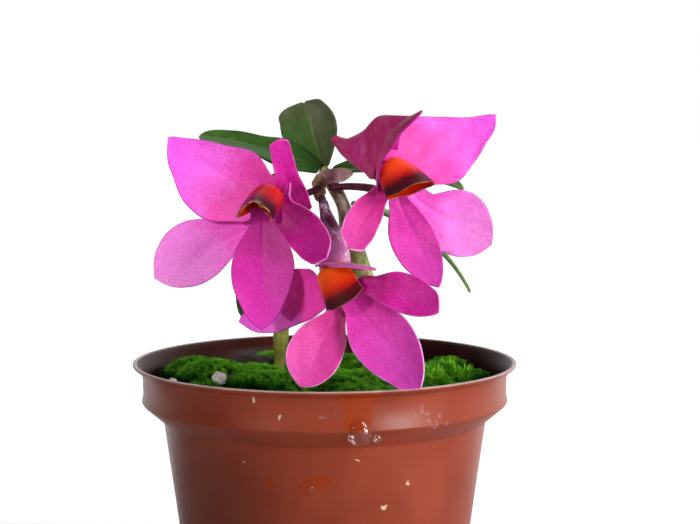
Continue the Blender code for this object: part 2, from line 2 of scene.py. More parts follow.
# # A small dendrobium orchid in its pot
# The real object is a miniature orchid with three magenta blooms, rooted in
# moss in a 7 cm plastic pot. The imported solids give every place and size.
# Each step below makes one kind of piece finer, then gives it its finish.

# %% Load the frame
import math
from collections import namedtuple
from functools import partial

import bpy
import numpy as np
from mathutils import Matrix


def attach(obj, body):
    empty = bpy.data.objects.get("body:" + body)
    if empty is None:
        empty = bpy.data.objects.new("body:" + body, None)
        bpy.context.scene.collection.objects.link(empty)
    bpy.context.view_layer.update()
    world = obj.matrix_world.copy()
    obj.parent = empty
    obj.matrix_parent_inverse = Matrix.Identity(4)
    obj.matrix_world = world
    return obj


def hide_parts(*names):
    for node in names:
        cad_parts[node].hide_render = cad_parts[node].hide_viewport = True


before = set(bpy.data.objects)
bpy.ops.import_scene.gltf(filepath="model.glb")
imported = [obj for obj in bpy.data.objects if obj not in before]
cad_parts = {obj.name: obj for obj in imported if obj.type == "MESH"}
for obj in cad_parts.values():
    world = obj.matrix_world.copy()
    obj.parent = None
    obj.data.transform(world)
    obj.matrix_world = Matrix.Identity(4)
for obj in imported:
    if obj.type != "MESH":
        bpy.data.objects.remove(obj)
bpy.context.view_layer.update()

MM = 0.001
TOWARDS_VIEWER = np.array((0.0, -1.0, 0.0))
SAME_PLACE = 2e-6          # metres; points that are closer are one


# %% [markdown]
# ## Helpers for shape
# Petals, leaves, stalks and lips are all thin sheets. By hand one would add a
# grid and pull its points about. Here the grid operator makes the sheet with
# its UV map, and a formula moves the points, because a petal's double curve
# is easier to state as a formula than as a list of pulls. Widths and paths
# are smooth curves through a few measured values.

# %% Shape helpers
def select(*pieces):
    """Selects these pieces and nothing else. The last one is active."""
    bpy.ops.object.select_all(action="DESELECT")
    for piece in pieces:
        piece.select_set(True)
        bpy.context.view_layer.objects.active = piece


def edit(piece, *steps):
    """Runs operators on everything in one piece's edit mode."""
    select(piece)
    bpy.ops.object.mode_set(mode="EDIT")
    for operator, settings in steps:
        bpy.ops.mesh.select_all(action="SELECT")
        operator(**settings)
    bpy.ops.object.mode_set(mode="OBJECT")


def apply_modifier(piece, kind, **settings):
    """Adds a modifier, sets it and applies it."""
    select(piece)
    modifier = piece.modifiers.new(kind.title(), kind)
    for name, value in settings.items():
        setattr(modifier, name, value)
    bpy.ops.object.modifier_apply(modifier=modifier.name)


def grid_points(mesh):
    flat = np.empty(len(mesh.vertices) * 3)
    mesh.vertices.foreach_get("co", flat)
    return flat.reshape(-1, 3)


def place_points(piece, placed):
    """Moves all points of a piece to these places, in millimetres."""
    piece.data.vertices.foreach_set("co", (placed * MM).ravel())
    piece.data.update()


def give_materials(piece, *materials):
    """These materials, numbered in this order, and no others."""
    piece.data.materials.clear()
    for material in materials:
        piece.data.materials.append(material)


def add_object(name, data):
    added = bpy.data.objects.new(name, data)
    bpy.context.scene.collection.objects.link(added)
    return added


def formed_sheet(name, columns, rows, form, wrap=False):
    """A grid whose points go where form(u, v) puts them, in millimetres."""
    select()
    bpy.ops.mesh.primitive_grid_add(x_subdivisions=columns, y_subdivisions=rows, size=2)
    piece = bpy.context.object
    piece.name = name
    piece.data.name = name
    flat = grid_points(piece.data)
    place_points(piece, form((flat[:, 0] + 1) / 2, (flat[:, 1] + 1) / 2))
    if wrap:
        edit(piece, (bpy.ops.mesh.remove_doubles, dict(threshold=SAME_PLACE)),
             (bpy.ops.mesh.normals_make_consistent, dict(inside=False)))
    return piece


def unit(vectors):
    return vectors / np.maximum(np.linalg.norm(vectors, axis=-1, keepdims=True), 1e-9)


def smooth_run(t, start, end, leaving, arriving):
    """From start to end with these slopes, for t from 0 to 1."""
    return (start * (2 * t ** 3 - 3 * t ** 2 + 1) + leaving * (t ** 3 - 2 * t ** 2 + t)
            + end * (3 * t ** 2 - 2 * t ** 3) + arriving * (t ** 3 - t ** 2))


def smooth_curve(values, v, places=None):
    """A curve through values or points, evenly spaced unless places are given."""
    values = np.array(values, dtype=float)
    places = np.linspace(0, 1, len(values)) if places is None else np.array(places)
    slopes = np.gradient(values, places, axis=0)
    first = np.clip(np.searchsorted(places, v, side="right") - 1, 0, len(places) - 2)
    span = places[first + 1] - places[first]
    t = (v - places[first]) / span
    if values.ndim > 1:
        t, span = t[:, None], span[:, None]
    return smooth_run(t, values[first], values[first + 1], slopes[first] * span,
                      slopes[first + 1] * span)


# %% [markdown]
# ## Helpers for finish
# A material is a small net of nodes. One function adds a node, sets it and
# links it. Colours are written as sRGB hex, the way a colour picker shows
# them, and turned to the linear values that Blender works in.

# %% Finish helpers
def colour(hex_code):
    """sRGB hex to linear RGBA."""
    parts = [int(hex_code[i:i + 2], 16) / 255 for i in (1, 3, 5)]
    linear = [p / 12.92 if p <= 0.04045 else ((p + 0.055) / 1.055) ** 2.4 for p in parts]
    return (*linear, 1.0)


def add_node(tree, kind, *inputs, stops=(), give=0, **named):
    """Adds a node and gives one of its outputs, or all with give=None.

    Inputs come in the node's own order, or by name with a capital first. Each
    is a value, or the output that feeds it. Names in small letters are settings.
    """
    node = tree.nodes.new("ShaderNode" + kind)
    values = dict(enumerate(inputs))
    for name, value in named.items():
        if name.islower():
            setattr(node, name, value)
        else:
            values[name] = value
    for name, value in values.items():
        if isinstance(value, bpy.types.NodeSocket):
            tree.links.new(value, node.inputs[name])
        elif value is not None:
            node.inputs[name].default_value = value
    if stops:
        elements = node.color_ramp.elements
        while len(elements) < len(stops):
            elements.new(1.0)
        for element, (place, shade) in zip(elements, stops):
            element.position = place
            element.color = colour(shade)
    return node.outputs if give is None else node.outputs[give]


# A Mix node has sockets for numbers and vectors before those for colours.
SKIPPED = (None,) * 5
OF_COLOURS = dict(data_type="RGBA", give=2)


def new_material(name, **values):
    """A material, its Principled shader with values set, and its own add_node."""
    material = bpy.data.materials.new(name)
    material.use_nodes = True
    tree = material.node_tree
    shader = tree.nodes["Principled BSDF"]
    for socket, value in values.items():
        shader.inputs[socket.replace("_", " ")].default_value = value
    return material, shader, partial(add_node, tree)


def places(add):
    """A point's place in the object and on its UV map, and the map's u and v."""
    coords = add("TexCoord", give=None)
    uv = add("SeparateXYZ", coords["UV"], give=None)
    return coords["Object"], coords["UV"], uv["X"], uv["Y"]


def feed(shader, **outputs):
    """Links outputs to a shader's inputs."""
    for name, output in outputs.items():
        shader.id_data.links.new(output, shader.inputs[name.replace("_", " ")])


def lay_on(shader, add, shade, height, strength, depth_mm):
    """Gives a shader its colour and its fine relief."""
    relief = add("Bump", Height=height, Strength=strength, Distance=depth_mm * MM)
    feed(shader, Base_Color=shade, Normal=relief)


def per_mm(size):
    """Texture scale for a pattern whose repeat is `size` millimetres."""
    return 1.0 / (size * MM)


# %% [markdown]
# ## Petal tissue
# A petal is a soft, water-filled sheet. Its skin is a mosaic of domed cells,
# and faint veins run from root to tip. The fine sparkle that light makes on
# the cells is painted: a few pale cells are a painted glint. The cells are
# about 0.05 mm across, too fine to show, so they are drawn as coarse as
# 0.24 mm. Light passes into the sheet, so it has some subsurface.

# %% Petal material
CELL_MM = 0.24
BLOTCH_MM = 3.5
VEINS = 11


def petal_tissue(name, heart, body, tip, edge):
    """Soft petal skin: colour runs from heart to tip along the UV map."""
    material, shader, add = new_material(
        name, Roughness=0.45, IOR=1.4, Specular_IOR_Level=0.35, Subsurface_Weight=0.4,
        Subsurface_Scale=0.0012, Subsurface_Radius=(1.0, 0.3, 0.8))
    where, _, u, v = places(add)
    blotch = add("TexNoise", where, Scale=per_mm(BLOTCH_MM), Detail=3.0)
    shifted = add("Math", blotch, 0.5, v, operation="MULTIPLY_ADD")
    moved = add("Math", shifted, 0.25, operation="SUBTRACT")
    run = add("ValToRGB", moved,
              stops=((0.0, heart), (0.34, heart), (0.56, body), (0.95, tip)))
    cells = add("TexVoronoi", where, Scale=per_mm(CELL_MM), give=None)
    # A few cells, picked by their random colours, are painted pale: a painted glint for the
    # sparkle of light on the cells.
    random = add("SeparateColor", cells["Color"], give=None)
    speck = add("MapRange", random["Red"], 0, 1, 0.84, 1.12)
    painted_glint = add("MapRange", random["Green"], 0.80, 1, 0, 0.06)
    wander = add("Math", blotch, 5.0, u, operation="MULTIPLY_ADD")
    wave = add("TexNoise", W=wander, Scale=VEINS, Detail=2.0, noise_dimensions="1D")
    vein = add("MapRange", wave, 0.3, 0.7, 0.93, 1.07)
    tone = add("Math", speck, vein, operation="MULTIPLY")
    toned = add("VectorMath", run, Scale=tone, operation="SCALE")
    lit = add("Mix", painted_glint, *SKIPPED, toned, colour("#F8B0E6"), **OF_COLOURS)
    off_centre = add("Math", u, 0.5, operation="SUBTRACT")
    from_middle = add("Math", off_centre, operation="ABSOLUTE")
    rim = add("MapRange", from_middle, 0.475, 0.498, 0, 0.7)
    edged = add("Mix", rim, *SKIPPED, lit, colour(edge), **OF_COLOURS)
    lay_on(shader, add, edged, cells["Distance"], 0.5, 0.08)
    return material


# Copies of one tissue at set brightness. Besides each part's own colour they hold painted
# light and shade: the deep petal skin is painted darker where a petal faces away or lies in
# shade, and the bright sepal skin is painted lighter where shade falls.
PETAL_PALE = petal_tissue("petal_pale_pink", "#EE58C4", "#F27CD6", "#F48CDC", "#C45AB4")
PETAL_ROSE = petal_tissue("petal_rose", "#BE2682", "#CC3A94", "#D0429C", "#E8B0D4")
PETAL_DEEP_SHADE = petal_tissue("petal_deep_magenta_painted_shade", "#9A0468", "#C41890", "#CE249C", "#D868B4")
SEPAL_BRIGHT = petal_tissue("sepal_bright_pink", "#EE40AC", "#F666D8", "#F25ADC", "#A83490")
SEPAL_MID = petal_tissue("sepal_magenta_pink", "#CC2E9E", "#D63CAC", "#D43EB2", "#8C2C84")
SEPAL_DEEP = petal_tissue("sepal_deep_magenta", "#A80E7C", "#BE1A94", "#C8269E", "#7A2084")
SEPAL_RIMMED = petal_tissue("sepal_pale_rimmed", "#D22EA4", "#E044B8", "#E04AC0", "#F0C4E6")
print("petal materials:", 7)


# %% [markdown]
# ## Backs of the petals and the spur
# From behind, a petal is paler and greyer, with pale streaks along it that
# are painted sheen. On the spur these streaks are a painted silvery sheen on
# wine red.

# %% Petal back material
STREAK_MM = 0.35
DOWN_PATCH_MM = 2.4


def streaked_back(name, stops, sheen_streak, amount, lean):
    """Underside with pale streaks of painted sheen; its colour runs along the UV's Y."""
    material, shader, add = new_material(
        name, Roughness=0.5, IOR=1.4, Subsurface_Weight=0.2, Subsurface_Scale=0.0012,
        Subsurface_Radius=(1.0, 0.35, 0.8), Sheen_Weight=0.1, Sheen_Roughness=0.4)
    where, _, _, v = places(add)
    run = add("ValToRGB", v, stops=stops)
    drawn_out = add("Mapping", where, Scale=(1.0, 1.0, 0.4), Rotation=(0.0, lean, 0.0))
    streaks = add("TexNoise", drawn_out, Scale=per_mm(STREAK_MM), Detail=4.0,
                  Roughness=0.75)
    patches = add("TexNoise", where, Scale=per_mm(DOWN_PATCH_MM))
    both = add("Math", streaks, patches, operation="MULTIPLY")
    # The pale streaks are painted sheen.
    painted_sheen = add("MapRange", both, 0.24, 0.40, 0, amount)
    shade = add("Mix", painted_sheen, *SKIPPED, run, colour(sheen_streak), **OF_COLOURS)
    lay_on(shader, add, shade, streaks, 0.5, 0.1)
    return material


PETAL_BACK = streaked_back("petal_back", ((0.0, "#B83A96"), (1.0, "#D65CBA")),
                           "#F0B6E2", 0.35, 0.0)
# The back of the deep petal skin is darker too: partly its own colour, partly painted shade.
BACK_DEEP_SHADE = streaked_back("petal_back_deep_painted_shade", ((0.0, "#9A1468"), (1.0, "#B4228C")),
                          "#D468B4", 0.3, 0.0)
# The spur's own colour runs from the bloom's end to the stalk's end.
SPUR_SKIN = streaked_back("spur_skin", ((0.0, "#D42C90"), (0.5, "#CE2676"), (1.0, "#AA2660")),
                          "#D888B8", 0.4, 0.7)
# The lower spur's pale end by the bloom is partly its own colour and partly a painted
# highlight; its dark end is the stalk's colour.
SPUR_PALE = streaked_back("spur_painted_sheen", ((0.0, "#B0508E"), (0.4, "#B868A0"),
                                           (0.62, "#6A1A50"), (1.0, "#380A26")),
                          "#F2DCEC", 0.8, 0.1)
print("back materials:", 4)


# %% [markdown]
# ## Leaves
# An orchid leaf is thick and waxy. Its veins run side by side, the midrib is
# a paler groove, and the skin has a soft gloss from its wax coat.

# %% Leaf material
LEAF_VEINS = 16
MOTTLE_MM = 1.6


def leaf_cuticle(name, left, right, tip, midrib):
    """Waxy leaf skin with parallel veins, a paler midrib, and two halves in painted light and
    shade.
    """
    material, shader, add = new_material(
        name, Roughness=0.5, IOR=1.45, Specular_IOR_Level=0.3, Coat_Weight=0.06,
        Coat_Roughness=0.3, Subsurface_Weight=0.1, Subsurface_Scale=0.001,
        Subsurface_Radius=(0.4, 1.0, 0.2))
    where, _, u, v = places(add)
    mottle = add("TexNoise", where, Scale=per_mm(MOTTLE_MM), Detail=5.0)
    # The leaf's two halves get their own colours: one half is painted lighter where light
    # falls on it, the other darker as painted shade.
    half = add("ValToRGB", u, stops=((0.0, left), (0.46, left), (0.5, midrib),
                                     (0.54, right), (1.0, right)))
    towards_tip = add("Math", mottle, 0.3, v, operation="MULTIPLY_ADD")
    browned = add("MapRange", towards_tip, 0.85, 1.2, 0, 0.8)
    shade = add("Mix", browned, *SKIPPED, half, colour(tip), **OF_COLOURS)
    lines = add("Math", u, 2 * math.pi * LEAF_VEINS, operation="MULTIPLY")
    wave = add("Math", lines, operation="SINE")
    vein = add("Math", wave, 0.06, mottle, operation="MULTIPLY_ADD")
    tone = add("MapRange", vein, 0.25, 0.75, 0.78, 1.22)
    toned = add("VectorMath", shade, Scale=tone, operation="SCALE")
    lay_on(shader, add, toned, vein, 0.3, 0.15)
    return material


# In each leaf the left and right halves differ by painted light and shade, most in the
# drooping pale leaf.
LEAF_UPRIGHT = leaf_cuticle("leaf_olive", "#3A5820", "#404E24", "#564E3C", "#54702E")
LEAF_GREEN = leaf_cuticle("leaf_green", "#2C5616", "#305418", "#486A26", "#4E7A2E")
LEAF_PALE = leaf_cuticle("leaf_light_green", "#6E9A4A", "#3E6A2E", "#7A9A50", "#8CB468")
print("leaf materials:", 3)


# %% [markdown]
# ## Cane, stalks and dry scales
# The canes are olive with fine ridges along them. The flower stalks are
# smooth and nearly black purple. The scales are dead tissue, papery and pale
# with brown streaks.

# %% Cane, stalk and scale materials
RIND_PATCH_MM = 2.2


def ridged_rind(name, dark, light, repeat, roughness, depth_mm, gloss):
    """Plant skin with fine streaks along its length (the UV's Y)."""
    material, shader, add = new_material(name, Roughness=roughness, IOR=1.45,
                                         Coat_Weight=gloss, Coat_Roughness=0.25)
    where, uv, _, _ = places(add)
    drawn_out = add("Mapping", uv, Scale=(repeat, 1.6, 1.0))
    streaks = add("TexNoise", drawn_out, Scale=1.0, Detail=5.0, Roughness=0.65)
    patches = add("TexNoise", where, Scale=per_mm(RIND_PATCH_MM))
    both = add("Math", streaks, patches, operation="ADD")
    half = add("Math", both, 0.5, operation="MULTIPLY")
    shade = add("ValToRGB", half,
                stops=((0.0, dark), (0.42, dark), (0.62, light), (1.0, light)))
    lay_on(shader, add, shade, streaks, 0.5, depth_mm)
    return material


CANE_RIND = ridged_rind("cane_rind", "#6A6A2C", "#B4BC66", 9.0, 0.5, 0.12, 0.2)
OLD_CANE_RIND = ridged_rind("old_cane_rind", "#5A5A12", "#8A8F2A", 9.0, 0.5, 0.12, 0.2)
STALK_SKIN = ridged_rind("stalk_skin", "#3A0A20", "#6A1638", 6.0, 0.35, 0.05, 0.4)
DRY_SCALE = ridged_rind("dry_scale", "#9A6A6C", "#E8C8C4", 14.0, 0.75, 0.12, 0.0)
GREY_SCALE = ridged_rind("grey_dry_scale", "#5E4A40", "#B6A394", 14.0, 0.8, 0.12, 0.0)
RACHIS_SKIN = ridged_rind("rachis_skin", "#6A4A38", "#B89A72", 7.0, 0.7, 0.2, 0.0)
print("stem materials:", 6)


# %% [markdown]
# ## Lip and column
# The lip is a waxy rolled petal. It runs from orange at the back through red
# to a wine-brown band, and its very edge is a thin orange line. The column
# inside it is yellow with a paler cap.

# %% Lip material
LIP_BLUR_MM = 0.7
LIP_GRAIN_MM = 0.3


def lip_wax(name, stops, speckle=0.10):
    """Waxy tissue whose colour runs along the UV's Y, back to mouth."""
    material, shader, add = new_material(
        name, Roughness=0.35, IOR=1.45, Specular_IOR_Level=0.4, Subsurface_Weight=0.35,
        Subsurface_Scale=0.0008, Subsurface_Radius=(1.0, 0.25, 0.05), Coat_Weight=0.15,
        Coat_Roughness=0.2)
    where, _, _, v = places(add)
    blur = add("TexNoise", where, Scale=per_mm(LIP_BLUR_MM), Detail=4.0)
    shifted = add("Math", blur, speckle, v, operation="MULTIPLY_ADD")
    centred = add("Math", shifted, speckle / 2, operation="SUBTRACT")
    run = add("ValToRGB", centred, stops=stops)
    grain = add("TexNoise", where, Scale=per_mm(LIP_GRAIN_MM))
    lay_on(shader, add, run, grain, 0.25, 0.08)
    return material


LIP_OUTSIDE = lip_wax("lip_outside", (
    (0.0, "#EE5A04"), (0.30, "#F05404"), (0.52, "#DC3408"), (0.66, "#A8100C"),
    (0.76, "#500A10"), (0.985, "#3E0E10"), (1.0, "#8A4A18")))
# The lower bloom's lip is a brighter copy of the outer lip: painted light, where the sepal
# above shades it.
LIP_PAINTED_LIGHT = lip_wax("lip_bright_orange", (
    (0.0, "#FF6A0A"), (0.30, "#FF5C06"), (0.52, "#F04406"), (0.68, "#C01C0A"),
    (0.78, "#5A0C10"), (0.985, "#3E0E10"), (1.0, "#8A4A18")))
LIP_RED = lip_wax("lip_wine_red", (
    (0.0, "#CC1C08"), (0.30, "#BC1614"), (0.50, "#A41222"), (0.66, "#741024"),
    (0.76, "#3A0A16"), (0.985, "#32080E"), (1.0, "#B06A28")))
LIP_INSIDE = lip_wax("lip_inside", (
    (0.0, "#D88A10"), (0.5, "#D84A08"), (0.9, "#C82004"), (0.97, "#8A1808"),
    (1.0, "#A85A20")), 0.06)
COLUMN_WAX = lip_wax("column_wax", ((0.0, "#C8780E"), (0.6, "#D09028"), (1.0, "#D8A85A")))
print("lip materials:", 5)


# %% [markdown]
# ## Pot plastic
# The pot is injection-moulded polypropylene in a brick colour. It is smooth
# but not polished, a little cloudy, with chalky marks, fine specks of dried
# lime and more orange, glossier patches where water has run down.

# %% Where the pot is wet and marked
# Each row has a mark's centre and half size, in millimetres.
WET_PATCHES = (
    ((5.9, -33.0, 59.6), (3.9, 3.0, 1.2)), ((5.9, -33.0, 56.4), (2.6, 3.0, 2.9)),
    ((12.0, -29.5, 51.6), (1.8, 4.0, 1.0)), ((-9.0, -26.8, 44.4), (1.1, 4.0, 1.3)),
    ((-2.9, -28.0, 43.4), (1.5, 4.0, 1.4)), ((-0.6, -28.0, 44.6), (2.2, 4.0, 1.3)),
    ((-7.2, -27.0, 45.6), (0.7, 4.0, 0.5)))
CHALK_PATCHES = (
    ((1.0, -33.0, 56.9), (2.1, 2.0, 0.7)), ((17.2, -28.0, 57.2), (1.9, 5.0, 0.9)),
    ((19.0, -28.0, 55.6), (1.5, 5.0, 1.2)), ((20.0, -27.0, 54.0), (1.4, 5.0, 0.5)),
    ((-29.0, -12.0, 50.6), (4.0, 8.0, 1.0)))
LIME_SPECKS = (
    ((-11.4, -31.4, 59.0), (0.24, 2.0, 0.5)), ((-7.2, -32.4, 56.3), (0.24, 2.0, 0.45)),
    ((10.4, -27.0, 39.7), (0.5, 3.0, 0.24)), ((14.5, -25.0, 43.6), (0.34, 3.0, 0.36)),
    ((-13.5, -27.0, 47.3), (0.22, 3.0, 0.14)), ((5.9, -29.0, 48.4), (0.45, 3.0, 0.09)))
# How soft each kind's margin is
MARKS = ((WET_PATCHES, 0.18), (CHALK_PATCHES, 0.5), (LIME_SPECKS, 0.3))
MARK_AT_MOST = 0.85
print("marks:", sum(len(rows) for rows, soft in MARKS))


# %% Pot material
CLOUD_MM = 9.0
RAGGED_MM = 1.3
RAGGED_PUSH_MM = 1.6
FINE_MM = 0.6


def mask_of(add, where, rows, soft):
    """Full inside any of the ellipsoid marks, 0 outside them."""
    mask = None
    for centre, size in rows:
        moved = add("VectorMath", where, [c * MM for c in centre], operation="SUBTRACT")
        scaled = add("VectorMath", moved, [s * MM for s in size], operation="DIVIDE")
        away = add("VectorMath", scaled, give="Value", operation="LENGTH")
        mark = add("MapRange", away, 1 - soft, 1 + soft, MARK_AT_MOST, 0)
        mask = add("Math", mask, mark, operation="MAXIMUM") if mask else mark
    return mask


def moulded_polypropylene(name, dark, light, marked=False, shine=0.35):
    """Cloudy plastic; `marked` adds the water, chalk and lime."""
    material, shader, add = new_material(
        name, IOR=1.49, Specular_IOR_Level=shine, Subsurface_Weight=0.04,
        Subsurface_Scale=0.001, Subsurface_Radius=(1.0, 0.4, 0.2))
    where = places(add)[0]
    cloud = add("TexNoise", where, Scale=per_mm(CLOUD_MM), Detail=5.0)
    shade = add("ValToRGB", cloud, stops=((0.3, dark), (0.7, light)))
    ragged = add("TexNoise", where, Scale=per_mm(RAGGED_MM), Detail=4.0, give=None)
    nudge = add("VectorMath", ragged["Color"], (0.5, 0.5, 0.5), operation="SUBTRACT")
    push = add("VectorMath", nudge, Scale=RAGGED_PUSH_MM * MM, operation="SCALE")
    wobbly = add("VectorMath", where, push, operation="ADD")
    wet, chalk, lime = (mask_of(add, wobbly, rows, soft) for rows, soft in MARKS)
    crumbs = add("MapRange", ragged["Fac"], 0.52, 0.66, 0, 0.55)
    chalky = add("Math", chalk, crumbs, operation="MULTIPLY")
    if marked:
        for mask, tint in ((wet, "#983408"), (chalky, "#CDA0AE"), (lime, "#E6CFA4")):
            shade = add("Mix", mask, *SKIPPED, shade, colour(tint), **OF_COLOURS)
    smear = add("MapRange", cloud, 0, 1, 0.30, 0.46)
    polish = add("MapRange", wet, 0, 1, 1, 0.3)
    feed(shader, Roughness=add("Math", smear, polish, operation="MULTIPLY"))
    fine = add("TexNoise", where, Scale=per_mm(FINE_MM), Detail=3.0)
    lay_on(shader, add, shade, fine, 0.08, 0.1)
    return material


POT_PLASTIC = moulded_polypropylene("moulded_polypropylene", "#87331B", "#973F25",
                                    marked=True)
# Inside, the plastic is painted dark: painted shade inside the pot.
POT_INSIDE_SHADE = moulded_polypropylene("polypropylene_painted_shade", "#34120E", "#481A14", shine=0.1)
# The rim's rounded edge is painted grey-white: a painted highlight where it reflects the
# bright room behind.
POT_RIM_HIGHLIGHT = moulded_polypropylene("rim_painted_highlight", "#A07C74", "#BCA49C", shine=0.8)
print("pot materials:", 3)


# %% [markdown]
# ## Moss, bark, perlite and water
# Moss leaves are one cell thick. The moss is painted yellow-green where shoot
# tips, dome tops and tall tufts catch the light, and near black low down and in
# the gaps: painted light and shade. Bark is rough and damp. Perlite is puffed
# glass, white and full of pits. Water is clear and shines like a mirror where
# it is seen aslant. What lies under a drop shows through it unbent.

# %% Ground materials
MOSS_PATCH_MM = 5.0


def moss_leaflets():
    """Thin green leaf, darker the lower its `tip` value, which holds painted light and shade.
    """
    material, shader, add = new_material(
        "moss_leaflets", Roughness=0.6, IOR=1.4, Specular_IOR_Level=0.2,
        Subsurface_Weight=0.15, Subsurface_Scale=0.0006, Subsurface_Radius=(0.5, 1.0, 0.1))
    # The mesh's tip value is painted light and shade, set where the moss is built.
    height = add("Attribute", give="Fac", attribute_name="tip")
    patches = add("TexNoise", places(add)[0], Scale=per_mm(MOSS_PATCH_MM), Detail=3.0)
    lift = add("Math", patches, 0.9, height, operation="MULTIPLY_ADD")
    light_level = add("Math", lift, 0.45, operation="SUBTRACT")
    feed(shader, Base_Color=add("ValToRGB", light_level, stops=(
        (0.0, "#081C04"), (0.3, "#083604"), (0.62, "#287C08"), (1.0, "#7AC42A"))))
    return material


def crumbly(name, dark, light, grain_mm, roughness, depth_mm):
    """Rough mineral or bark surface."""
    material, shader, add = new_material(name, Roughness=roughness)
    grain = add("TexNoise", places(add)[0], Scale=per_mm(grain_mm), Detail=6.0,
                Roughness=0.7)
    shade = add("ValToRGB", grain, stops=((0.35, dark), (0.65, light)))
    lay_on(shader, add, shade, grain, 0.8, depth_mm)
    return material


MOSS = moss_leaflets()
BARK = crumbly("damp_bark", "#120C06", "#2E2412", 0.8, 0.85, 0.3)
PERLITE = crumbly("perlite", "#B9AFA2", "#F4EFE8", 0.5, 0.9, 0.2)
WATER, shader, add = new_material("water", Roughness=0.1, Metallic=1.0,
                                  Base_Color=colour("#FFFFFF"))
feed(shader, Alpha=add("MapRange", add("Fresnel", 1.4), 0, 1, 0.03, 0.4))
print("ground materials:", 4)


# %% [markdown]
# ## Blades: petals, sepals and leaves
# The real ones grow flat in bud and then bow, cup and ripple. Each blade is
# stated by its root and tip, its half widths at five places on each side,
# how far its middle bows, how its face is rolled, and how its margins cup.
# Nearly all are the solids' own values, so the fine blade fills the same
# place. The left bloom's narrow sepal is slimmer here, and is seen face-on.
# The fine blade adds a groove along the midrib, a rippled margin and the tiny
# point that each petal ends in. Solidify then gives it a real thickness, and
# its back takes the second material.

# %% The measured blades
STATIONS = (0.0, 0.25, 0.5, 0.75, 0.92, 1.0)
# A row has the root, the tip, and the half widths at the stations on one side
# and on the other, where None stands for the same. Then it has the bow, the
# roll in degrees, the cup and the skin. Some also have the half width at the
# tip, a fold along the midrib, a notched tip, or a place in the bloom's heart.
Blade = namedtuple("Blade", "root tip one other bow roll cup skin end fold notch heart",
                   defaults=(0.25, 0, 0, None))
PETAL_MM = 0.36
LEAF_MM = 0.5
SCALE_MM = 0.25

LEAVES = {
    "leaf_upright": Blade(
        (-0.1, -10.8, 96.6), (-3.6, -6.2, 108.1), (1.0, 3.0, 4.4, 4.3, 3.2),
        (1.0, 4.4, 5.3, 5.2, 4.4), -0.8, 0, 0.8, LEAF_UPRIGHT, fold=0.35, notch=0.25,
        end=2.4),
    "leaf_strap": Blade(
        (-0.8, -12.8, 96.3), (-21.8, -11.0, 102.0), (1.2, 3.6, 2.9, 2.5, 1.8),
        (1.2, 4.6, 3.0, 2.5, 1.8), 1.3, 56, 0.3, LEAF_GREEN, fold=0.5, end=0.9),
    "leaf_behind": Blade(
        (1.5, -9.2, 96.0), (25.0, -3.5, 92.4), (0.9, 2.8, 3.4, 2.8, 1.6), None, 2.2, -62, 0.4,
        LEAF_GREEN, fold=0.8, end=0.8),
    "leaf_drooping": Blade(
        (4.9, -9.5, 90.4), (26.4, -2.0, 73.6), (0.8, 1.8, 2.4, 2.0, 1.2), None, 3.0, -84, 0.1,
        LEAF_PALE, fold=0.3, end=0.6),
    "leaf_lower": Blade(
        (-9.0, 4.4, 80.2), (-15.2, 2.5, 68.4), (0.9, 2.0, 2.5, 2.2, 1.2), None, 1.8, 35, 0.6,
        LEAF_GREEN, fold=0.6, end=0.5),
}
SCALES = {
    "papery_bract": Blade(
        (-0.9, -13.8, 95.0), (5.2, -14.4, 95.9), (0.8, 1.25, 1.3, 1.1, 0.6), None, 0.3, 6,
        0.3, DRY_SCALE),
    "dry_sheath": Blade(
        (2.6, -13.2, 92.6), (4.6, -13.4, 85.4), (0.4, 0.8, 0.8, 0.6, 0.4), None, 0.3, 0, 0.2,
        GREY_SCALE),
}


# %% How a blade is formed
CLAW_WIDTH = 0.72          # of the root's own width, at the heart
ROUND_FROM = 0.955
GROOVE_HALF_MM = 0.35


def blade_axes(root, tip, roll):
    """Directions along a blade, across it and out of its face."""
    along = unit(tip - root)
    across = unit(np.cross(along, TOWARDS_VIEWER))
    turn = math.radians(roll)
    across = across * math.cos(turn) + np.cross(along, across) * math.sin(turn)
    return along, across, np.cross(across, along)


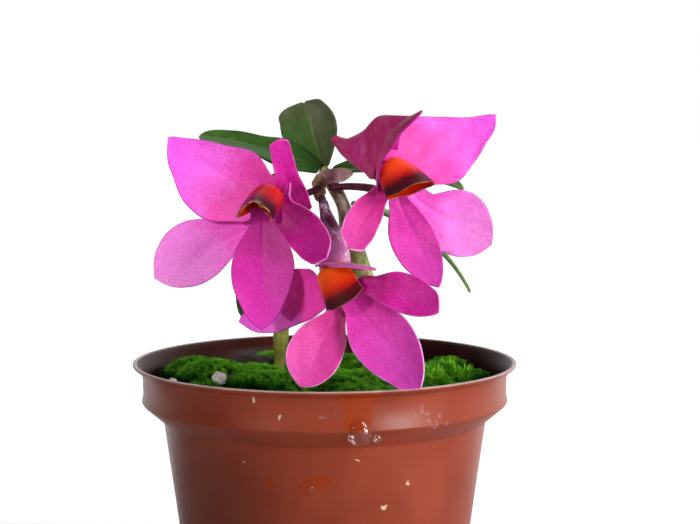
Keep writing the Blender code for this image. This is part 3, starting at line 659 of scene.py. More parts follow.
def blade_form(shape, ripple=0.0, groove=0.0, point=0.0):
    root, tip = np.array(shape.root), np.array(shape.tip)
    along, across, face = blade_axes(root, tip, shape.roll)
    sides = shape.one, shape.other or shape.one
    widest = max(map(max, sides))
    heart = np.array(shape.heart or root)
    claw = np.linalg.norm(root - heart) / np.linalg.norm(tip - heart)
    leaving = (tip - root) + face * 4 * shape.bow

    def form(u, place):
        side = 2 * u - 1
        v = np.clip((place - claw) / (1 - claw), 0, 1)
        one, other = (smooth_curve([*widths, shape.end], v, STATIONS) for widths in sides)
        half = np.where(side > 0, one, other)
        # Below its root the blade narrows to a claw that runs to the heart.
        s = np.clip(place / max(claw, 1e-6), 0, 1)
        half = half * (CLAW_WIDTH + (1 - CLAW_WIDTH) * s * s * (3 - 2 * s))
        # The last stretch rounds off to the tip, with a tiny point on a petal.
        to_tip = np.clip((v - ROUND_FROM) / (1 - ROUND_FROM), 0, 1)
        half = half * np.sqrt(1 - 0.985 * to_tip ** 2)
        lift = half / widest * (shape.cup * side ** 2 + shape.fold * np.abs(side))
        lift -= groove * np.exp(-(side * half / GROOVE_HALF_MM) ** 2) * (1 - v)
        lift += ripple * side ** 4 * np.sin(v * 17 + 2.5 * side) * np.sin(v * math.pi)
        lift += 0.5 * ripple * np.sin(side * half * 1.1 + 2) * np.sin(v * 9 + side * 2)
        back = shape.notch * (1 - np.abs(side)) * v ** 6
        ahead = point * to_tip ** 3 * np.exp(-(side * 3) ** 2)
        rise = 4 * shape.bow * v * (1 - v) + lift
        middle = root + np.outer(v, tip - root)
        if claw > 0:
            # A smooth bend from the heart into the blade's own direction.
            bent = smooth_run(s[:, None], heart, root, root - heart,
                              leaving * claw / (1 - claw))
            middle = np.where((place < claw)[:, None], bent, middle)
        return (middle + across * (side * half)[:, None] + face * rise[:, None]
                + along * (ahead - back)[:, None])

    return form


def thicken(piece, thickness, offset, *materials):
    """Real thickness and a rounded edge; the last material is the back's."""
    give_materials(piece, *materials)
    apply_modifier(piece, "SOLIDIFY", thickness=thickness * MM, offset=offset,
                   material_offset=len(materials) - 1, use_even_offset=False)
    apply_modifier(piece, "SUBSURF", levels=1, render_levels=1)
    piece.data.shade_smooth()
    return piece


def blade(name, shape, thickness, *backs, rows=44, columns=24, **fine):
    sheet = formed_sheet(name, columns, rows, blade_form(shape, **fine))
    return thicken(sheet, thickness, 0.0, shape.skin, *backs)


def count_triangles(piece):
    return sum(len(face.vertices) - 2 for face in piece.data.polygons)


def dress(piece):
    """Hangs a finished piece on the root body and hides the solid whose name it carries."""
    node = piece.name.removesuffix("_fine")
    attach(piece, "root")
    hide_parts(node)
    print(piece.name, count_triangles(piece), "triangles")


# %% Make the leaves and the dry scales
for leaf, shape in LEAVES.items():
    dress(blade(leaf + "_fine", shape, LEAF_MM, ripple=0.12, groove=0.3))
for scale, shape in SCALES.items():
    dress(blade(scale + "_fine", shape, SCALE_MM, rows=24, columns=14, ripple=0.25,
                groove=0.1))


# %% [markdown]
# ## Canes, stalks and the rachis
# These are round and tapered, and their thickness swells between joints. A
# grid rolled into a tube along a curve keeps a clean UV map for the streaks,
# which a bevelled curve would not, and both ends close to a round point.

# %% Round stems
def tube_form(points, sizes, swell=0.0, joints=0, close=0.03):
    """A tube along points, with a pair of half sizes at each of them."""
    def form(u, v):
        ahead = unit(smooth_curve(points, np.minimum(v + 0.01, 1))
                     - smooth_curve(points, np.maximum(v - 0.01, 0)))
        side = unit(np.cross(ahead, TOWARDS_VIEWER))
        front = np.cross(side, ahead)
        near_end = np.clip(np.minimum(v, 1 - v) / close, 0, 1)
        rounded = np.sqrt(np.maximum(1 - (1 - near_end) ** 2, 0))
        scale = rounded * (1 + swell * np.cos(2 * math.pi * joints * v))
        wide, deep = smooth_curve(sizes, v).T * scale
        turn = 2 * math.pi * u
        return (smooth_curve(points, v) + side * (wide * np.cos(turn))[:, None]
                + front * (deep * np.sin(turn))[:, None])

    return form


def stem(name, points, radii, material, rows=60, sides=24, **shape):
    sizes = [(radius, radius) for radius in radii]
    piece = formed_sheet(name, sides, rows, tube_form(points, sizes, **shape), wrap=True)
    give_materials(piece, material)
    piece.data.shade_smooth()
    return piece


CANES = {
    "cane_flowering": (
        ((9.6, 0.5, 50.3), (9.6, 0.5, 59.0), (8.8, -2.0, 68.0), (6.6, -7.0, 77.0),
         (4.9, -9.5, 83.5), (3.4, -11.0, 90.0), (1.0, -11.4, 94.5), (-0.3, -11.2, 96.8)),
        (1.3, 1.5, 2.0, 2.2, 1.9, 1.25, 1.1, 0.8), CANE_RIND),
    "cane_old": (
        ((-8.4, 6.0, 50.3), (-8.4, 6.0, 59.0), (-8.2, 6.0, 66.0), (-7.6, 5.6, 74.0),
         (-7.2, 5.0, 80.5)),
        (1.1, 1.2, 1.5, 1.6, 1.0), OLD_CANE_RIND),
}
for cane, (points, radii, finish) in CANES.items():
    dress(stem(cane + "_fine", points, radii, finish, rows=90, swell=0.04, joints=5))

RACHIS = ((-0.4, -13.4, 95.8), (-0.7, -13.6, 94.0), (-0.8, -13.6, 92.4), (-0.9, -13.6, 90.8))
dress(stem("rachis_fine", RACHIS, (0.9, 1.25, 1.15, 0.6), RACHIS_SKIN, rows=30, swell=0.10,
           joints=3, close=0.2))


# %% [markdown]
# ## The blooms
# Each bloom hangs upside down, so its two broad lateral sepals point up and
# its dorsal sepal points down. The lateral sepals grow from a hollow spur, so
# those three shapes are united into one skin. The lip is a short rolled tube
# with an arched rim, and the column stands inside it.

# %% The measured blooms
LEFT_BLOOM = dict(
    lateral_left=Blade(
        (-11.6, -20.3, 91.5), (-26.3, -19.0, 102.1), (5.4, 6.7, 4.8, 2.8, 1.0),
        (4.6, 7.7, 7.8, 5.3, 2.6), -1.0, -8, 1.0, SEPAL_BRIGHT, heart=(-8.6, -21.2, 91.8)),
    lateral_right=Blade(
        (-4.6, -21.2, 89.2), (-7.3, -29.4, 101.9), (3.0, 2.8, 2.1, 1.9, 1.8),
        (3.4, 2.6, 1.9, 1.7, 1.6), -0.6, 10, 0.5, PETAL_DEEP_SHADE, end=1.6),
    petal_left=Blade(
        (-13.1, -18.4, 86.4), (-29.4, -14.6, 77.5), (1.9, 4.6, 6.3, 5.4, 2.8),
        (1.4, 3.2, 4.7, 4.2, 2.2), -0.8, 0, 0.9, PETAL_PALE, heart=(-11.0, -21.5, 89.8)),
    dorsal_sepal=Blade(
        (-10.2, -22.6, 87.6), (-10.0, -27.0, 70.1), (1.9, 4.6, 5.3, 3.9, 2.0),
        (1.9, 4.9, 5.3, 3.6, 1.7), -0.7, 0, 0.8, SEPAL_DEEP, heart=(-11.0, -24.4, 90.4)),
    petal_right=Blade(
        (-6.0, -25.2, 89.3), (0.9, -34.0, 82.9), (2.6, 3.2, 3.4, 3.0, 2.0),
        (2.6, 3.4, 3.5, 3.0, 1.9), -1.2, 8, 0.9, PETAL_DEEP_SHADE, heart=(-6.2, -24.6, 93.2)),
    lip=dict(
        skin=LIP_RED, back=(-8.4, -22.4, 93.0), mouth=(-11.6, -27.2, 89.5),
        facing=(-0.35, -0.5, -0.8), across=(1, 0, 0.25), back_size=(2.8, 2.2),
        mouth_size=(3.2, 2.4), arch=1.5, tilt=0.0, gape=2.8, arm=2.2),
    spur=(
        ((-8.4, -19.8, 92.0), 4.0, 1.7), ((-7.4, -17.0, 94.0), 2.4, 1.7),
        ((-5.9, -15.2, 95.6), 1.2, 1.1), ((-5.0, -14.3, 96.6), 0.6, 0.6)),
    pedicel=(
        (-0.2, -14.4, 93.4), (-5.0, -15.6, 91.4), (-8.0, -17.6, 89.6), (-9.6, -20.4, 88.2)),
)
RIGHT_BLOOM = dict(
    lateral_right=Blade(
        (16.4, -20.2, 97.0), (29.4, -18.6, 105.9), (3.6, 5.8, 5.0, 3.2, 1.8),
        (7.6, 7.6, 5.0, 2.2, 0.9), -0.8, 8, 0.8, SEPAL_BRIGHT, heart=(11.2, -21.8, 96.6)),
    lateral_left=Blade(
        (9.8, -20.4, 94.6), (16.4, -30.0, 106.6), (2.2, 2.4, 2.2, 1.6, 1.0),
        (2.8, 4.4, 4.6, 3.2, 1.6), -2.6, 72, 2.4, SEPAL_DEEP),
    petal_right=Blade(
        (17.6, -19.6, 90.4), (28.9, -18.8, 83.8), (3.2, 5.2, 5.4, 4.4, 2.4),
        (2.4, 5.2, 5.9, 4.6, 2.2), -0.8, 0, 0.7, PETAL_PALE, heart=(14.0, -21.2, 94.2)),
    dorsal_sepal=Blade(
        (13.0, -22.0, 91.0), (19.6, -25.0, 77.1), (1.9, 4.0, 4.4, 3.3, 1.5),
        (1.7, 2.9, 3.2, 2.5, 1.2), -0.9, 0, 0.7, SEPAL_MID, heart=(12.8, -22.4, 94.2)),
    petal_left=Blade(
        (9.4, -22.6, 91.9), (4.3, -33.0, 84.3), (1.9, 3.0, 3.2, 2.8, 2.0),
        (1.5, 2.4, 2.8, 2.6, 1.9), -1.0, -6, 0.8, PETAL_ROSE, heart=(11.4, -22.0, 94.4)),
    lip=dict(
        skin=LIP_OUTSIDE, back=(11.0, -22.6, 97.9), mouth=(14.7, -26.6, 93.4),
        facing=(0.3, -0.42, -0.86), across=(1, 0, 0.1), back_size=(1.9, 1.9),
        mouth_size=(4.0, 2.3), arch=-0.2, tilt=0.9, gape=0.3),
    spur=(
        ((10.3, -20.6, 99.8), 6.0, 1.8), ((6.9, -18.0, 99.8), 3.5, 2.1),
        ((4.4, -15.6, 100.2), 1.9, 1.5), ((2.9, -14.4, 101.0), 1.1, 1.0),
        ((1.6, -13.8, 101.9), 0.7, 0.7)),
    pedicel=(
        (0.9, -14.4, 93.2), (4.6, -16.2, 93.6), (8.6, -18.4, 93.3), (12.2, -20.4, 92.0)),
)
LOWER_BLOOM = dict(
    lateral_left=Blade(
        (0.2, -22.9, 76.8), (-14.6, -17.4, 70.3), (4.0, 5.2, 3.9, 2.2, 0.9),
        (3.0, 4.2, 4.4, 3.9, 2.2), -0.8, -8, 1.0, SEPAL_BRIGHT),
    lateral_right=Blade(
        (0.6, -26.4, 80.9), (8.0, -36.4, 81.3), (3.4, 4.4, 4.6, 3.4, 1.6),
        (2.4, 4.0, 4.6, 3.4, 1.6), -0.5, 80, 0.5, PETAL_DEEP_SHADE),
    petal_left=Blade(
        (2.2, -27.2, 72.2), (-3.5, -32.6, 61.4), (2.0, 4.2, 5.0, 4.5, 2.4),
        (1.8, 3.6, 4.1, 3.4, 1.8), -0.9, 0, 0.8, PETAL_ROSE, heart=(3.0, -28.2, 76.2)),
    dorsal_sepal=Blade(
        (5.6, -28.4, 74.6), (16.1, -35.6, 61.7), (2.3, 4.9, 5.2, 3.8, 2.2),
        (2.6, 4.6, 5.1, 3.8, 1.8), -1.2, 0, 0.8, SEPAL_RIMMED, heart=(3.6, -28.0, 77.0)),
    petal_right=Blade(
        (8.0, -29.4, 77.9), (19.2, -32.4, 73.8), (1.7, 2.2, 2.4, 2.0, 1.0),
        (1.6, 3.8, 4.3, 3.6, 2.3), -0.8, -20, 0.9, PETAL_DEEP_SHADE, heart=(4.4, -28.0, 77.6)),
    lip=dict(
        skin=LIP_PAINTED_LIGHT, back=(1.3, -27.6, 80.9), mouth=(3.8, -32.0, 75.8),
        facing=(0.52, -0.14, -0.84), across=(1, 0, 0.66), back_size=(2.7, 2.0),
        mouth_size=(3.4, 2.1), arch=-0.8, tilt=0.0, gape=1.5),
    spur=(
        ((1.0, -23.2, 77.0), 1.6, 1.2), ((2.0, -23.6, 80.6), 2.7, 1.8),
        ((1.8, -21.4, 84.0), 2.2, 1.9), ((0.9, -19.8, 87.6), 1.4, 1.4),
        ((0.1, -19.0, 90.3), 0.8, 0.8), ((-0.3, -17.4, 92.0), 0.7, 0.7)),
    pedicel=(
        (0.1, -14.8, 91.2), (1.5, -16.8, 86.0), (3.0, -20.2, 78.4), (4.9, -26.2, 75.0)),
)
BLOOMS = dict(left=LEFT_BLOOM, right=RIGHT_BLOOM, lower=LOWER_BLOOM)


# %% How a lip and a column are formed
LIP_MM = 0.28
DOME_TO, FLARE_FROM, FLARE = 0.16, 0.78, 0.24
RIM_WAVES, RIM_WAVE_MM = 5, 0.12


def lip_form(shape):
    back, mouth = np.array(shape["back"]), np.array(shape["mouth"])
    start = unit(mouth - back)
    facing = unit(np.array(shape["facing"]))
    across = np.array(shape["across"], dtype=float)

    def form(u, v):
        turn = 2 * math.pi * u
        ahead = unit(np.outer(1 - v, start) + np.outer(v, facing))
        side = unit(across - ahead * (ahead @ across)[:, None])
        up = np.cross(side, ahead)
        open_out = np.sin(v * math.pi / 2)
        dome = np.sqrt(1 - (1 - np.clip(v / DOME_TO, 0, 1)) ** 2)
        flare = FLARE * np.clip((v - FLARE_FROM) / (1 - FLARE_FROM), 0, 1) ** 2
        wide, tall = (back_size + (mouth_size - back_size) * open_out for
                      back_size, mouth_size in zip(shape["back_size"], shape["mouth_size"]))
        full = dome * (1 + flare / 3)
        offset = (side * (wide * np.cos(turn) * full)[:, None]
                  + up * (tall * np.sin(turn) * full)[:, None])
        facing_viewer = (offset @ TOWARDS_VIEWER) / (np.linalg.norm(offset, axis=1) + 1e-9)
        near = np.clip(facing_viewer, 0, 1) ** 1.5
        far = np.clip(-facing_viewer, 0, 1) ** 0.7
        pull = (near * (shape["arch"] + shape["tilt"] * np.cos(turn)) + far * shape["gape"]
                - RIM_WAVE_MM * np.sin(RIM_WAVES * turn)) * v ** 2
        sag = shape.get("arm", 0) * np.clip(-np.cos(turn), 0, 1) ** 1.2 * v ** 3
        return (back + np.outer(v, mouth - back) + offset - ahead * pull[:, None]
                - np.outer(sag, (0, 0, 1)))

    return form


def lip(name, shape):
    sheet = formed_sheet(name, 40, 26, lip_form(shape), wrap=True)
    return thicken(sheet, LIP_MM, -1.0, shape["skin"], LIP_INSIDE)


def column(name, shape):
    back, mouth = np.array(shape["back"]), np.array(shape["mouth"])
    points = [tuple(back + (mouth - back) * place) for place in (0.25, 0.38, 0.5, 0.62)]
    return stem(name, points, (0.6, 0.85, 0.9, 0.7), COLUMN_WAX, rows=24, sides=20,
                close=0.25)


# %% Make the blooms
# The right bloom's left sepal runs into its spur in one broad fold. Its far
# outline and its near margin are given here, from the sepal's tip to the
# spur's, and a sheet spans the two.
FOLD_OUTLINE = ((16.2, -30.0, 106.6), (14.8, -28.0, 105.8), (12.6, -25.5, 105.8),
                (10.0, -22.5, 105.8), (8.6, -21.0, 105.0), (7.1, -19.0, 103.2),
                (5.6, -17.0, 101.5), (3.7, -15.2, 101.0), (1.6, -13.8, 102.0))
FOLD_MARGIN = ((16.2, -30.1, 106.4), (14.6, -28.2, 103.3), (12.0, -26.0, 100.3),
               (9.0, -23.4, 97.1), (8.4, -21.4, 95.1), (7.3, -19.4, 96.0),
               (5.8, -17.2, 98.0), (3.7, -15.4, 99.8), (1.6, -13.9, 101.2))
FOLD_BULGE = 1.3


def fold_form(u, v):
    far, near = smooth_curve(FOLD_OUTLINE, v), smooth_curve(FOLD_MARGIN, v)
    bulge = FOLD_BULGE * 4 * u * (1 - u) * np.sin(math.pi * v) ** 0.5
    across = far * (1 - u)[:, None] + near * u[:, None]
    return across + TOWARDS_VIEWER * bulge[:, None]


def lateral_sepals(name, shapes):
    """Both lateral sepals and the spur behind them, united into one skin."""
    points = [centre for centre, tall, deep in shapes["spur"]]
    sizes = [(tall, deep) for centre, tall, deep in shapes["spur"]]
    spur = formed_sheet(name, 32, 40, tube_form(points, sizes, close=0.05), wrap=True)
    skin = SPUR_PALE if "lower" in name else SPUR_SKIN
    give_materials(spur, skin)
    wings = []
    for part in ("lateral_left", "lateral_right"):
        shape = shapes[part]
        back = skin if part == "lateral_left" and "right" in name else PETAL_BACK
        if shape.skin == PETAL_DEEP_SHADE:
            back = BACK_DEEP_SHADE
        wings.append(blade(name + part, shape, PETAL_MM, back, ripple=0.2, groove=0.12,
                           point=0.2))
    if "right" in name:
        fold = formed_sheet(name + "fold", 24, 48, fold_form)
        give_materials(fold, skin)
        apply_modifier(fold, "SOLIDIFY", thickness=PETAL_MM * MM, offset=0.0)
        wings.append(fold)
    for wing in wings:
        apply_modifier(spur, "BOOLEAN", operation="UNION", object=wing, solver="EXACT",
                       material_mode="TRANSFER")
        bpy.data.objects.remove(wing, do_unlink=True)
    spur.data.shade_smooth()
    return spur


OTHERS = (("dorsal_sepal", "sepal_magenta", 0.15), ("petal_left", "petal_magenta", 0.2),
          ("petal_right", "petal_magenta", 0.2))
for bloom, shapes in BLOOMS.items():
    dress(lateral_sepals(bloom + "_lateral_sepals_fine", shapes))
    for part, slot, wavy in OTHERS:
        dress(blade(f"{bloom}_{part}_fine", shapes[part], PETAL_MM, PETAL_BACK, ripple=wavy,
                    groove=0.15, point=0.2))
    dress(lip(bloom + "_lip_fine", shapes["lip"]))
    dress(column(bloom + "_column_fine", shapes["lip"]))
    dress(stem(bloom + "_pedicel_fine", shapes["pedicel"], (0.6, 0.62, 0.75, 0.9),
               STALK_SKIN, rows=40, sides=20))


# %% [markdown]
# ## The pot
# A nursery pot is moulded in one shot: a flat base, a tapered body, a wider
# band and a thin rolled lip. By hand one starts with the base disc and
# extrudes its edge again and again, resizing each new ring, up the outside,
# over the lip and down the inside. Small bevels round the corners, which a
# mould always has.

# %% Make the pot
RIM_FROM = (34.0, 60.7)    # radius and height where the rim's painted highlight starts
FLOOR_MM = 1.6
CORNER_MM = 0.18
DRAIN_HOLES, DRAIN_MM, DRAIN_RING_MM = 6, 1.8, 13
RINGS = (                  # radius and height of each ring of the outline
    (21.4, 0.0), (22.3, 0.4), (22.6, 1.2), (29.4, 50.0), (29.6, 50.6), (33.1, 53.6),
    (33.4, 54.0), (33.1, 55.2), (33.2, 58.6), (33.7, 59.7), (34.7, 60.3), (35.0, 60.6),
    (34.95, 60.9), (34.6, 61.0), (34.2, 60.85), (33.6, 60.3), (32.6, 58.8), (32.2, 57.0),
    (32.2, 54.6), (28.5, 50.7), (21.7, 1.4),
)


def select_ring(piece, height, radius):
    """Selects the vertices at one height and radius."""
    bpy.ops.object.mode_set(mode="OBJECT")
    for vertex in piece.data.vertices:
        away = math.hypot(vertex.co.x, vertex.co.y)
        vertex.select = (abs(vertex.co.z - height * MM) < SAME_PLACE / 2
                         and abs(away - radius * MM) < SAME_PLACE)
    bpy.ops.object.mode_set(mode="EDIT")


select()
bpy.ops.mesh.primitive_circle_add(vertices=160, radius=RINGS[0][0] * MM, fill_type="NGON")
pot = bpy.context.object
pot.name = "pot_fine"
bpy.ops.object.mode_set(mode="EDIT")
bpy.ops.mesh.select_mode(type="VERT")
bpy.ops.mesh.select_all(action="SELECT")
for (radius, height), (next_radius, next_height) in zip(RINGS, RINGS[1:]):
    bpy.ops.mesh.extrude_edges_move(
        TRANSFORM_OT_translate=dict(value=(0, 0, (next_height - height) * MM)))
    scale = next_radius / radius
    bpy.ops.transform.resize(value=(scale, scale, 1), center_override=(0, 0, next_height * MM))
    select_ring(pot, next_height, next_radius)
bpy.ops.mesh.edge_face_add()
bpy.ops.mesh.select_all(action="SELECT")
bpy.ops.mesh.remove_doubles(threshold=SAME_PLACE / 2)
bpy.ops.mesh.normals_make_consistent(inside=False)
bpy.ops.object.mode_set(mode="OBJECT")
apply_modifier(pot, "BEVEL", width=CORNER_MM * MM, segments=2, limit_method="ANGLE",
               angle_limit=math.radians(25))

# Drain holes through the base
for turn in np.linspace(0, 2 * math.pi, DRAIN_HOLES, endpoint=False):
    select()
    bpy.ops.mesh.primitive_cylinder_add(
        vertices=24, radius=DRAIN_MM * MM, depth=4 * MM,
        location=np.array((math.cos(turn), math.sin(turn), 0)) * DRAIN_RING_MM * MM)
    drill = bpy.context.object
    apply_modifier(pot, "BOOLEAN", operation="DIFFERENCE", object=drill, solver="EXACT")
    bpy.data.objects.remove(drill, do_unlink=True)
give_materials(pot, POT_PLASTIC, POT_INSIDE_SHADE, POT_RIM_HIGHLIGHT)
for face in pot.data.polygons:
    x, y, z = face.center
    # Faces on the rim's edge take the painted highlight.
    if math.hypot(x, y) > RIM_FROM[0] * MM and z > RIM_FROM[1] * MM:
        face.material_index = 2
    # Faces that look into the pot take the painted shade.
    elif face.normal.x * x + face.normal.y * y < 0 and z > FLOOR_MM * MM:
        face.material_index = 1
edit(pot, (bpy.ops.mesh.faces_shade_smooth, {}))
pot.data.set_sharp_from_angle(angle=math.radians(40))
dress(pot)


# %% [markdown]
# ## Moss
# Cushion moss is thousands of upright shoots packed side by side, each a
# little star of pointed leaves. One shoot is modelled and copied over the
# mound, each copy turned, leant and sized a little differently from a fixed
# seed. The cushion under them is broken into small domes, as real moss is.

# %% Make the moss
MOSS_FLOOR, MOSS_LEVEL, MOSS_RADIUS = 56.1, 57.1, 31.6
# Broad mounds: place, rise and spread. Then what the shoots keep clear of: the
# canes and the perlite, each with its radius. Then the tufts that stand taller.
MOUNDS = ((-20, 10, 2.2, 8), (-14, -20, 1.3, 8), (-2, -20, 1.7, 9), (12, -22, 1.2, 7),
          (21, -8, 0.9, 7), (27, 4, -0.6, 6), (4, 22, -1.8, 13), (-11, 10, -2.4, 5))
CLEAR_OF = ((9.6, 0.5, 1.9), (-8.4, 6.0, 1.6), (-18.2, -15.0, 1.2), (-26.6, -13.0, 0.7))
TUFTS = ((17.0, -16.0), (19.0, -13.5), (23.5, -9.0), (26.5, -6.0))
TUFT_RADIUS = 1.7
SHOOTS, SHOOT_SEED = 9000, 11
CUSHIONS, CUSHION_SPREAD = 52, 29.5
draw = np.random.default_rng(SHOOT_SEED)


def scattered(count, spread):
    """Random places on a disc, evenly thick."""
    away = spread * np.sqrt(draw.random(count))
    turn = 2 * math.pi * draw.random(count)
    return away * np.cos(turn), away * np.sin(turn)


cushion_x, cushion_y = scattered(CUSHIONS, CUSHION_SPREAD)
cushion_reach = draw.uniform(3.6, 7.6, CUSHIONS)
# Beside the bark chip the moss stays low.
cushion_reach[np.hypot(cushion_x + 12.6, cushion_y - 5.5) < 7.0] = 1.4
# The three mounds that show beside the blooms
cushion_x = np.append(cushion_x, (-20.5, -11.0, -25.0))
cushion_y = np.append(cushion_y, (-2.0, -12.5, 4.0))
cushion_reach = np.append(cushion_reach, (7.5, 6.5, 6.0))


def dome_height(x, y):
    """How high the cushions stand, 0 in the creases between them."""
    away = np.hypot(x[:, None] - cushion_x, y[:, None] - cushion_y) / cushion_reach
    return np.max(np.sqrt(np.clip(1 - away ** 2, 0, 1)) * cushion_reach * 0.42, axis=1)


def moss_height(x, y):
    height = MOSS_LEVEL + dome_height(x, y)
    for mound_x, mound_y, rise, spread in MOUNDS:
        height = height + 0.6 * rise * np.exp(-((x - mound_x) ** 2 + (y - mound_y) ** 2)
                                              / spread ** 2)
    edge = np.hypot(x, y) / MOSS_RADIUS
    return np.maximum(height - 1.2 * edge ** 8, MOSS_FLOOR + 0.7)


def cushion_form(u, v):
    """A disc with a shaped top, a straight side and a flat floor."""
    turn = 2 * math.pi * u
    out = np.where(v < 0.2, v / 0.2, np.clip((1 - v) / 0.75, 0, 1)) * MOSS_RADIUS
    x, y = out * np.cos(turn), out * np.sin(turn)
    top = moss_height(x, y) - 0.35
    return np.stack((x, y, np.where(v <= 0.21, MOSS_FLOOR, top)), axis=1)


def one_shoot(leaves=6):
    """Points, faces and painted light of one moss shoot, 1 unit tall, root at the origin."""
    points, faces, tip_light = [], [], []
    for ring, (low, reach, rise) in enumerate(((0.15, 0.55, 0.55), (0.5, 0.34, 0.5))):
        for index in range(leaves):
            turn = 2 * math.pi * (index + 0.5 * ring) / leaves
            x, y = math.cos(turn), math.sin(turn)
            first = len(points)
            points += [(-y * 0.13, x * 0.13, low), (y * 0.13, -x * 0.13, low),
                       (x * reach, y * reach, low + rise)]
            tip_light += [low * 0.5, low * 0.5, min(1.0, low + rise)]
            faces.append((first, first + 1, first + 2))
    return np.array(points), np.array(faces), np.array(tip_light)


x, y = scattered(SHOOTS, MOSS_RADIUS - 0.7)
keep = np.ones(SHOOTS, dtype=bool)
for clear_x, clear_y, clear in CLEAR_OF:
    keep &= np.hypot(x - clear_x, y - clear_y) > clear
x, y = x[keep], y[keep]
points, faces, tip_light = one_shoot()
tall = draw.uniform(0.7, 1.5, len(x))
for tuft_x, tuft_y in TUFTS:
    near = np.hypot(x - tuft_x, y - tuft_y) < TUFT_RADIUS
    tall[near] *= draw.uniform(1.4, 2.4, np.count_nonzero(near))
spin = draw.uniform(0, 2 * math.pi, len(x))
lean = draw.uniform(-0.35, 0.35, (len(x), 2))
cos, sin = np.cos(spin)[:, None], np.sin(spin)[:, None]
px = (points[:, 0] * cos - points[:, 1] * sin + points[:, 2] * lean[:, :1]) * tall[:, None]
py = (points[:, 0] * sin + points[:, 1] * cos + points[:, 2] * lean[:, 1:]) * tall[:, None]
pz = points[None, :, 2] * tall[:, None]
placed = np.stack((px + x[:, None], py + y[:, None],
                   pz + (moss_height(x, y) - 0.45)[:, None]), axis=2).reshape(-1, 3)
all_faces = (faces[None] + (np.arange(len(x)) * len(points))[:, None, None]).reshape(-1, 3)
shoots_mesh = bpy.data.meshes.new("moss_shoots")
shoots_mesh.from_pydata(placed * MM, [], all_faces)
shoots = add_object("moss_shoots", shoots_mesh)
cushion = formed_sheet("moss_fine", 96, 60, cushion_form, wrap=True)
# The tip values are painted light and shade: lighter at leaf tips, on dome tops and on tall
# tufts, and near black on the cushion under the shoots.
dome_top_light = np.clip(dome_height(x, y) / 1.8, 0, 1)
painted_light_values = {"moss_shoots": (0.5 * tip_light[None] + 0.75 * dome_top_light[:, None] - 0.28
                              + 0.3 * (tall[:, None] > 1.5)).ravel(),
              "moss_fine": np.full(len(cushion.data.vertices), 0.02)}
for piece in (cushion, shoots):
    attribute = piece.data.attributes.new("tip", "FLOAT", "POINT")
    attribute.data.foreach_set("value", painted_light_values[piece.name])
    give_materials(piece, MOSS)
select(shoots, cushion)
bpy.ops.object.join()
cushion.data.shade_smooth()
dress(cushion)
print("moss:", len(x), "shoots")


# %% [markdown]
# ## Grains, bark and mix
# Two grains of perlite and a dark chip lie in the moss. Each starts as an
# ico sphere, whose points a noise of a few waves pushes in and out.

# %% Make the grains
def grain(name, centre, sizes, material, rough):
    select()
    bpy.ops.mesh.primitive_ico_sphere_add(subdivisions=5, radius=1.0)
    piece = bpy.context.object
    piece.name = name
    flat = grid_points(piece.data)
    x, y, z = flat.T
    grow = 1 + 0.10 * np.sin(5 * x + 2 * y) * np.cos(4 * z + x)
    grow += rough * np.sin(17 * x + 9 * z) * np.cos(15 * y - 6 * x)
    place_points(piece, flat * np.array(sizes) * grow[:, None] + np.array(centre))
    give_materials(piece, material)
    piece.data.shade_smooth()
    return piece


GRAINS = (
    ("perlite_large", (-18.2, -15.0, 59.9), (1.25,) * 3, PERLITE, 0.05, "perlite_white"),
    ("perlite_small", (-26.6, -13.0, 59.0), (0.75,) * 3, PERLITE, 0.05, "perlite_white"),
    ("bark_chip", (-13.6, 8.4, 59.3), (4.0, 2.6, 1.5), BARK, 0.04, "bark_mix"),
)
for node, centre, sizes, finish, rough, slot in GRAINS:
    dress(grain(node + "_fine", centre, sizes, finish, rough))
give_materials(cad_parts["potting_mix"], BARK)
print("grains:", len(GRAINS))


# %% [markdown]
# ## Water
# The plant has just been watered. A large drop hangs on the pot's band, a
# few lie on its body, and beads stand on the moss. A drop on a wall is a
# flattened dome, so each is a squashed sphere sunk half into the surface.

# %% Make the drops
DROPS = (                  # place, half sizes, turn about Z in degrees
    ("drop_hanging", (6.2, -32.6, 53.8), (1.95, 0.75, 2.35), 10),
    ("drop_small", (9.2, -31.6, 52.6), (0.7, 0.45, 0.8), 16),
    ("drop_body", (-2.2, -28.2, 43.3), (0.8, 0.4, 0.8), -4),
    ("bead_moss_left", (8.6, -24.0, 60.3), (0.45, 0.45, 0.45), 0),
    ("bead_moss_right", (9.2, -27.0, 60.1), (0.42, 0.42, 0.42), 0),
)
for name, centre, sizes, turned in DROPS:
    select()
    bpy.ops.mesh.primitive_uv_sphere_add(segments=40, ring_count=24, radius=1.0)
    drop = bpy.context.object
    drop.name = name
    flat = grid_points(drop.data)
    # A hanging drop is fuller below than above.
    flat[:, 0] *= 1 - 0.25 * flat[:, 2]
    flat *= np.array(sizes)
    cos, sin = math.cos(math.radians(turned)), math.sin(math.radians(turned))
    place_points(drop, flat @ ((cos, sin, 0), (-sin, cos, 0), (0, 0, 1)) + centre)
    give_materials(drop, WATER)
    drop.data.shade_smooth()
    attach(drop, "root")
print("drops:", len(DROPS))


# %% [markdown]
# ## Stage, light and camera
# The picture was taken close up with a short telephoto lens, a little above
# the rim, against white. A soft key light and a low fill stand to the right,
# so the pot's left side falls into shade. Two snoots from the left keep the
# blooms bright there, and a light from behind shines through the petals.

# %% Stage and lights
select()
bpy.ops.mesh.primitive_plane_add(size=8.0, location=(0, 0, 0))
floor = bpy.context.object
floor.name = "floor"
floor_material, shader, add = new_material(
    "pale_floor", Base_Color=colour("#BEBEBE"), Roughness=0.6, IOR=1.45,
    Emission_Color=colour("#FFFFFF"))
# Behind the pot the floor glows, as a lit sweep does, so that it fades into white.
depth = add("SeparateXYZ", places(add)[0], give="Y")
feed(shader, Emission_Strength=add("MapRange", depth, 0.06, 0.15, 0, 0.9))
give_materials(floor, floor_material)

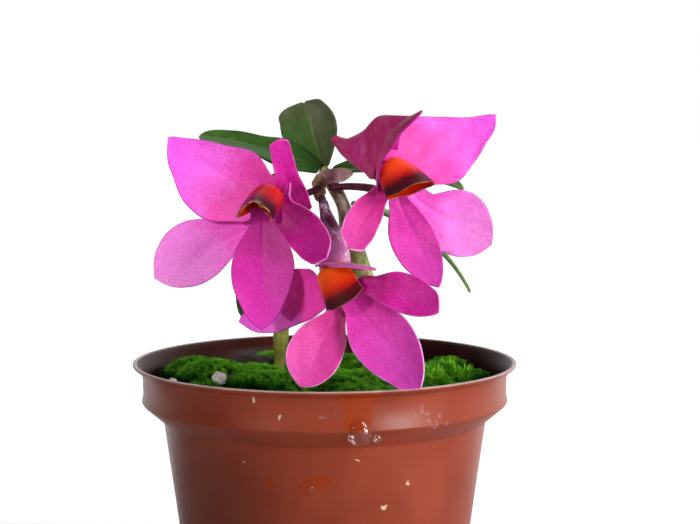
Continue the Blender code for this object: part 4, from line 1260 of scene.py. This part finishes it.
world = bpy.data.worlds.new("studio")
bpy.context.scene.world = world
world.use_nodes = True
background = world.node_tree.nodes["Background"]
background.inputs["Color"].default_value = colour("#FFFFFF")
# The room is white to look at. As a light, it is a white wall behind the plant
# and to its right, and dim elsewhere.
LIT_SIDE = (0.45, 0.89, 0.0)
add = partial(add_node, world.node_tree)
direction = add("TexCoord", give="Generated")
towards_wall = add("VectorMath", direction, LIT_SIDE, give="Value", operation="DOT_PRODUCT")
brightness = add("MapRange", towards_wall, 0.25, 0.75, 0.10, 1)
seen = add("LightPath", give="Is Camera Ray")
feed(background, Strength=add("Math", brightness, seen, operation="MAXIMUM"))
# Plain sRGB shows a flower's colours as bright as they are; the default film
# look would grey them.
bpy.context.scene.view_settings.view_transform = "Standard"

SNOOT_BLEND = 0.5
LIGHTS = (                 # name, place, aim and size in metres, watts, cone in degrees
    ("key_right", (0.44, -0.32, 0.28), (0.0, 0.0, 0.07), 0.26, 2.45, None),
    ("low_fill", (0.36, -0.34, 0.02), (0.0, 0.0, 0.055), 0.16, 1.7, None),
    ("back_top", (0.05, 0.50, 0.60), (0.0, 0.0, 0.07), 0.60, 0.9, None),
    ("bloom_snoot", (-0.26, -0.46, 0.24), (-0.016, -0.02, 0.088), 0.03, 9.0, 7.0),
    ("sepal_snoot", (-0.22, -0.36, 0.045), (-0.008, -0.02, 0.072), 0.01, 2.0, 2.8),
)
for name, place, aim, size, watts, cone in LIGHTS:
    # A snoot is a spot whose narrow cone takes in the blooms and not the pot.
    data = bpy.data.lights.new(name, "SPOT" if cone else "AREA")
    data.energy = watts
    if cone:
        data.shadow_soft_size = size
        data.spot_size = math.radians(cone)
        data.spot_blend = SNOOT_BLEND
    else:
        data.size = size
    lamp = add_object(name, data)
    lamp.location = place
    way = np.array(aim) - np.array(place)
    lamp.rotation_euler = (math.atan2(math.hypot(way[0], way[1]), -way[2]), 0,
                           math.atan2(way[1], way[0]) - math.pi / 2)
print("lights:", len(LIGHTS))


# %% Camera
CAMERA_PLACE = (4.6, -316.3, 108.9)
CAMERA_DIP = 5.4
FOCAL_PIXELS = 1744.0
PHOTO_WIDTH = 700.0
SENSOR_MM = 36.0
camera_data = bpy.data.cameras.new("camera")
camera_data.sensor_width = SENSOR_MM
camera_data.lens = FOCAL_PIXELS * SENSOR_MM / PHOTO_WIDTH
camera_data.clip_start = 0.01
camera = add_object("camera", camera_data)
camera.location = [c * MM for c in CAMERA_PLACE]
camera.rotation_euler = (math.radians(90 - CAMERA_DIP), 0, 0)
bpy.context.scene.camera = camera
print("lens:", round(camera_data.lens, 1), "mm")


# %% Finish
select()
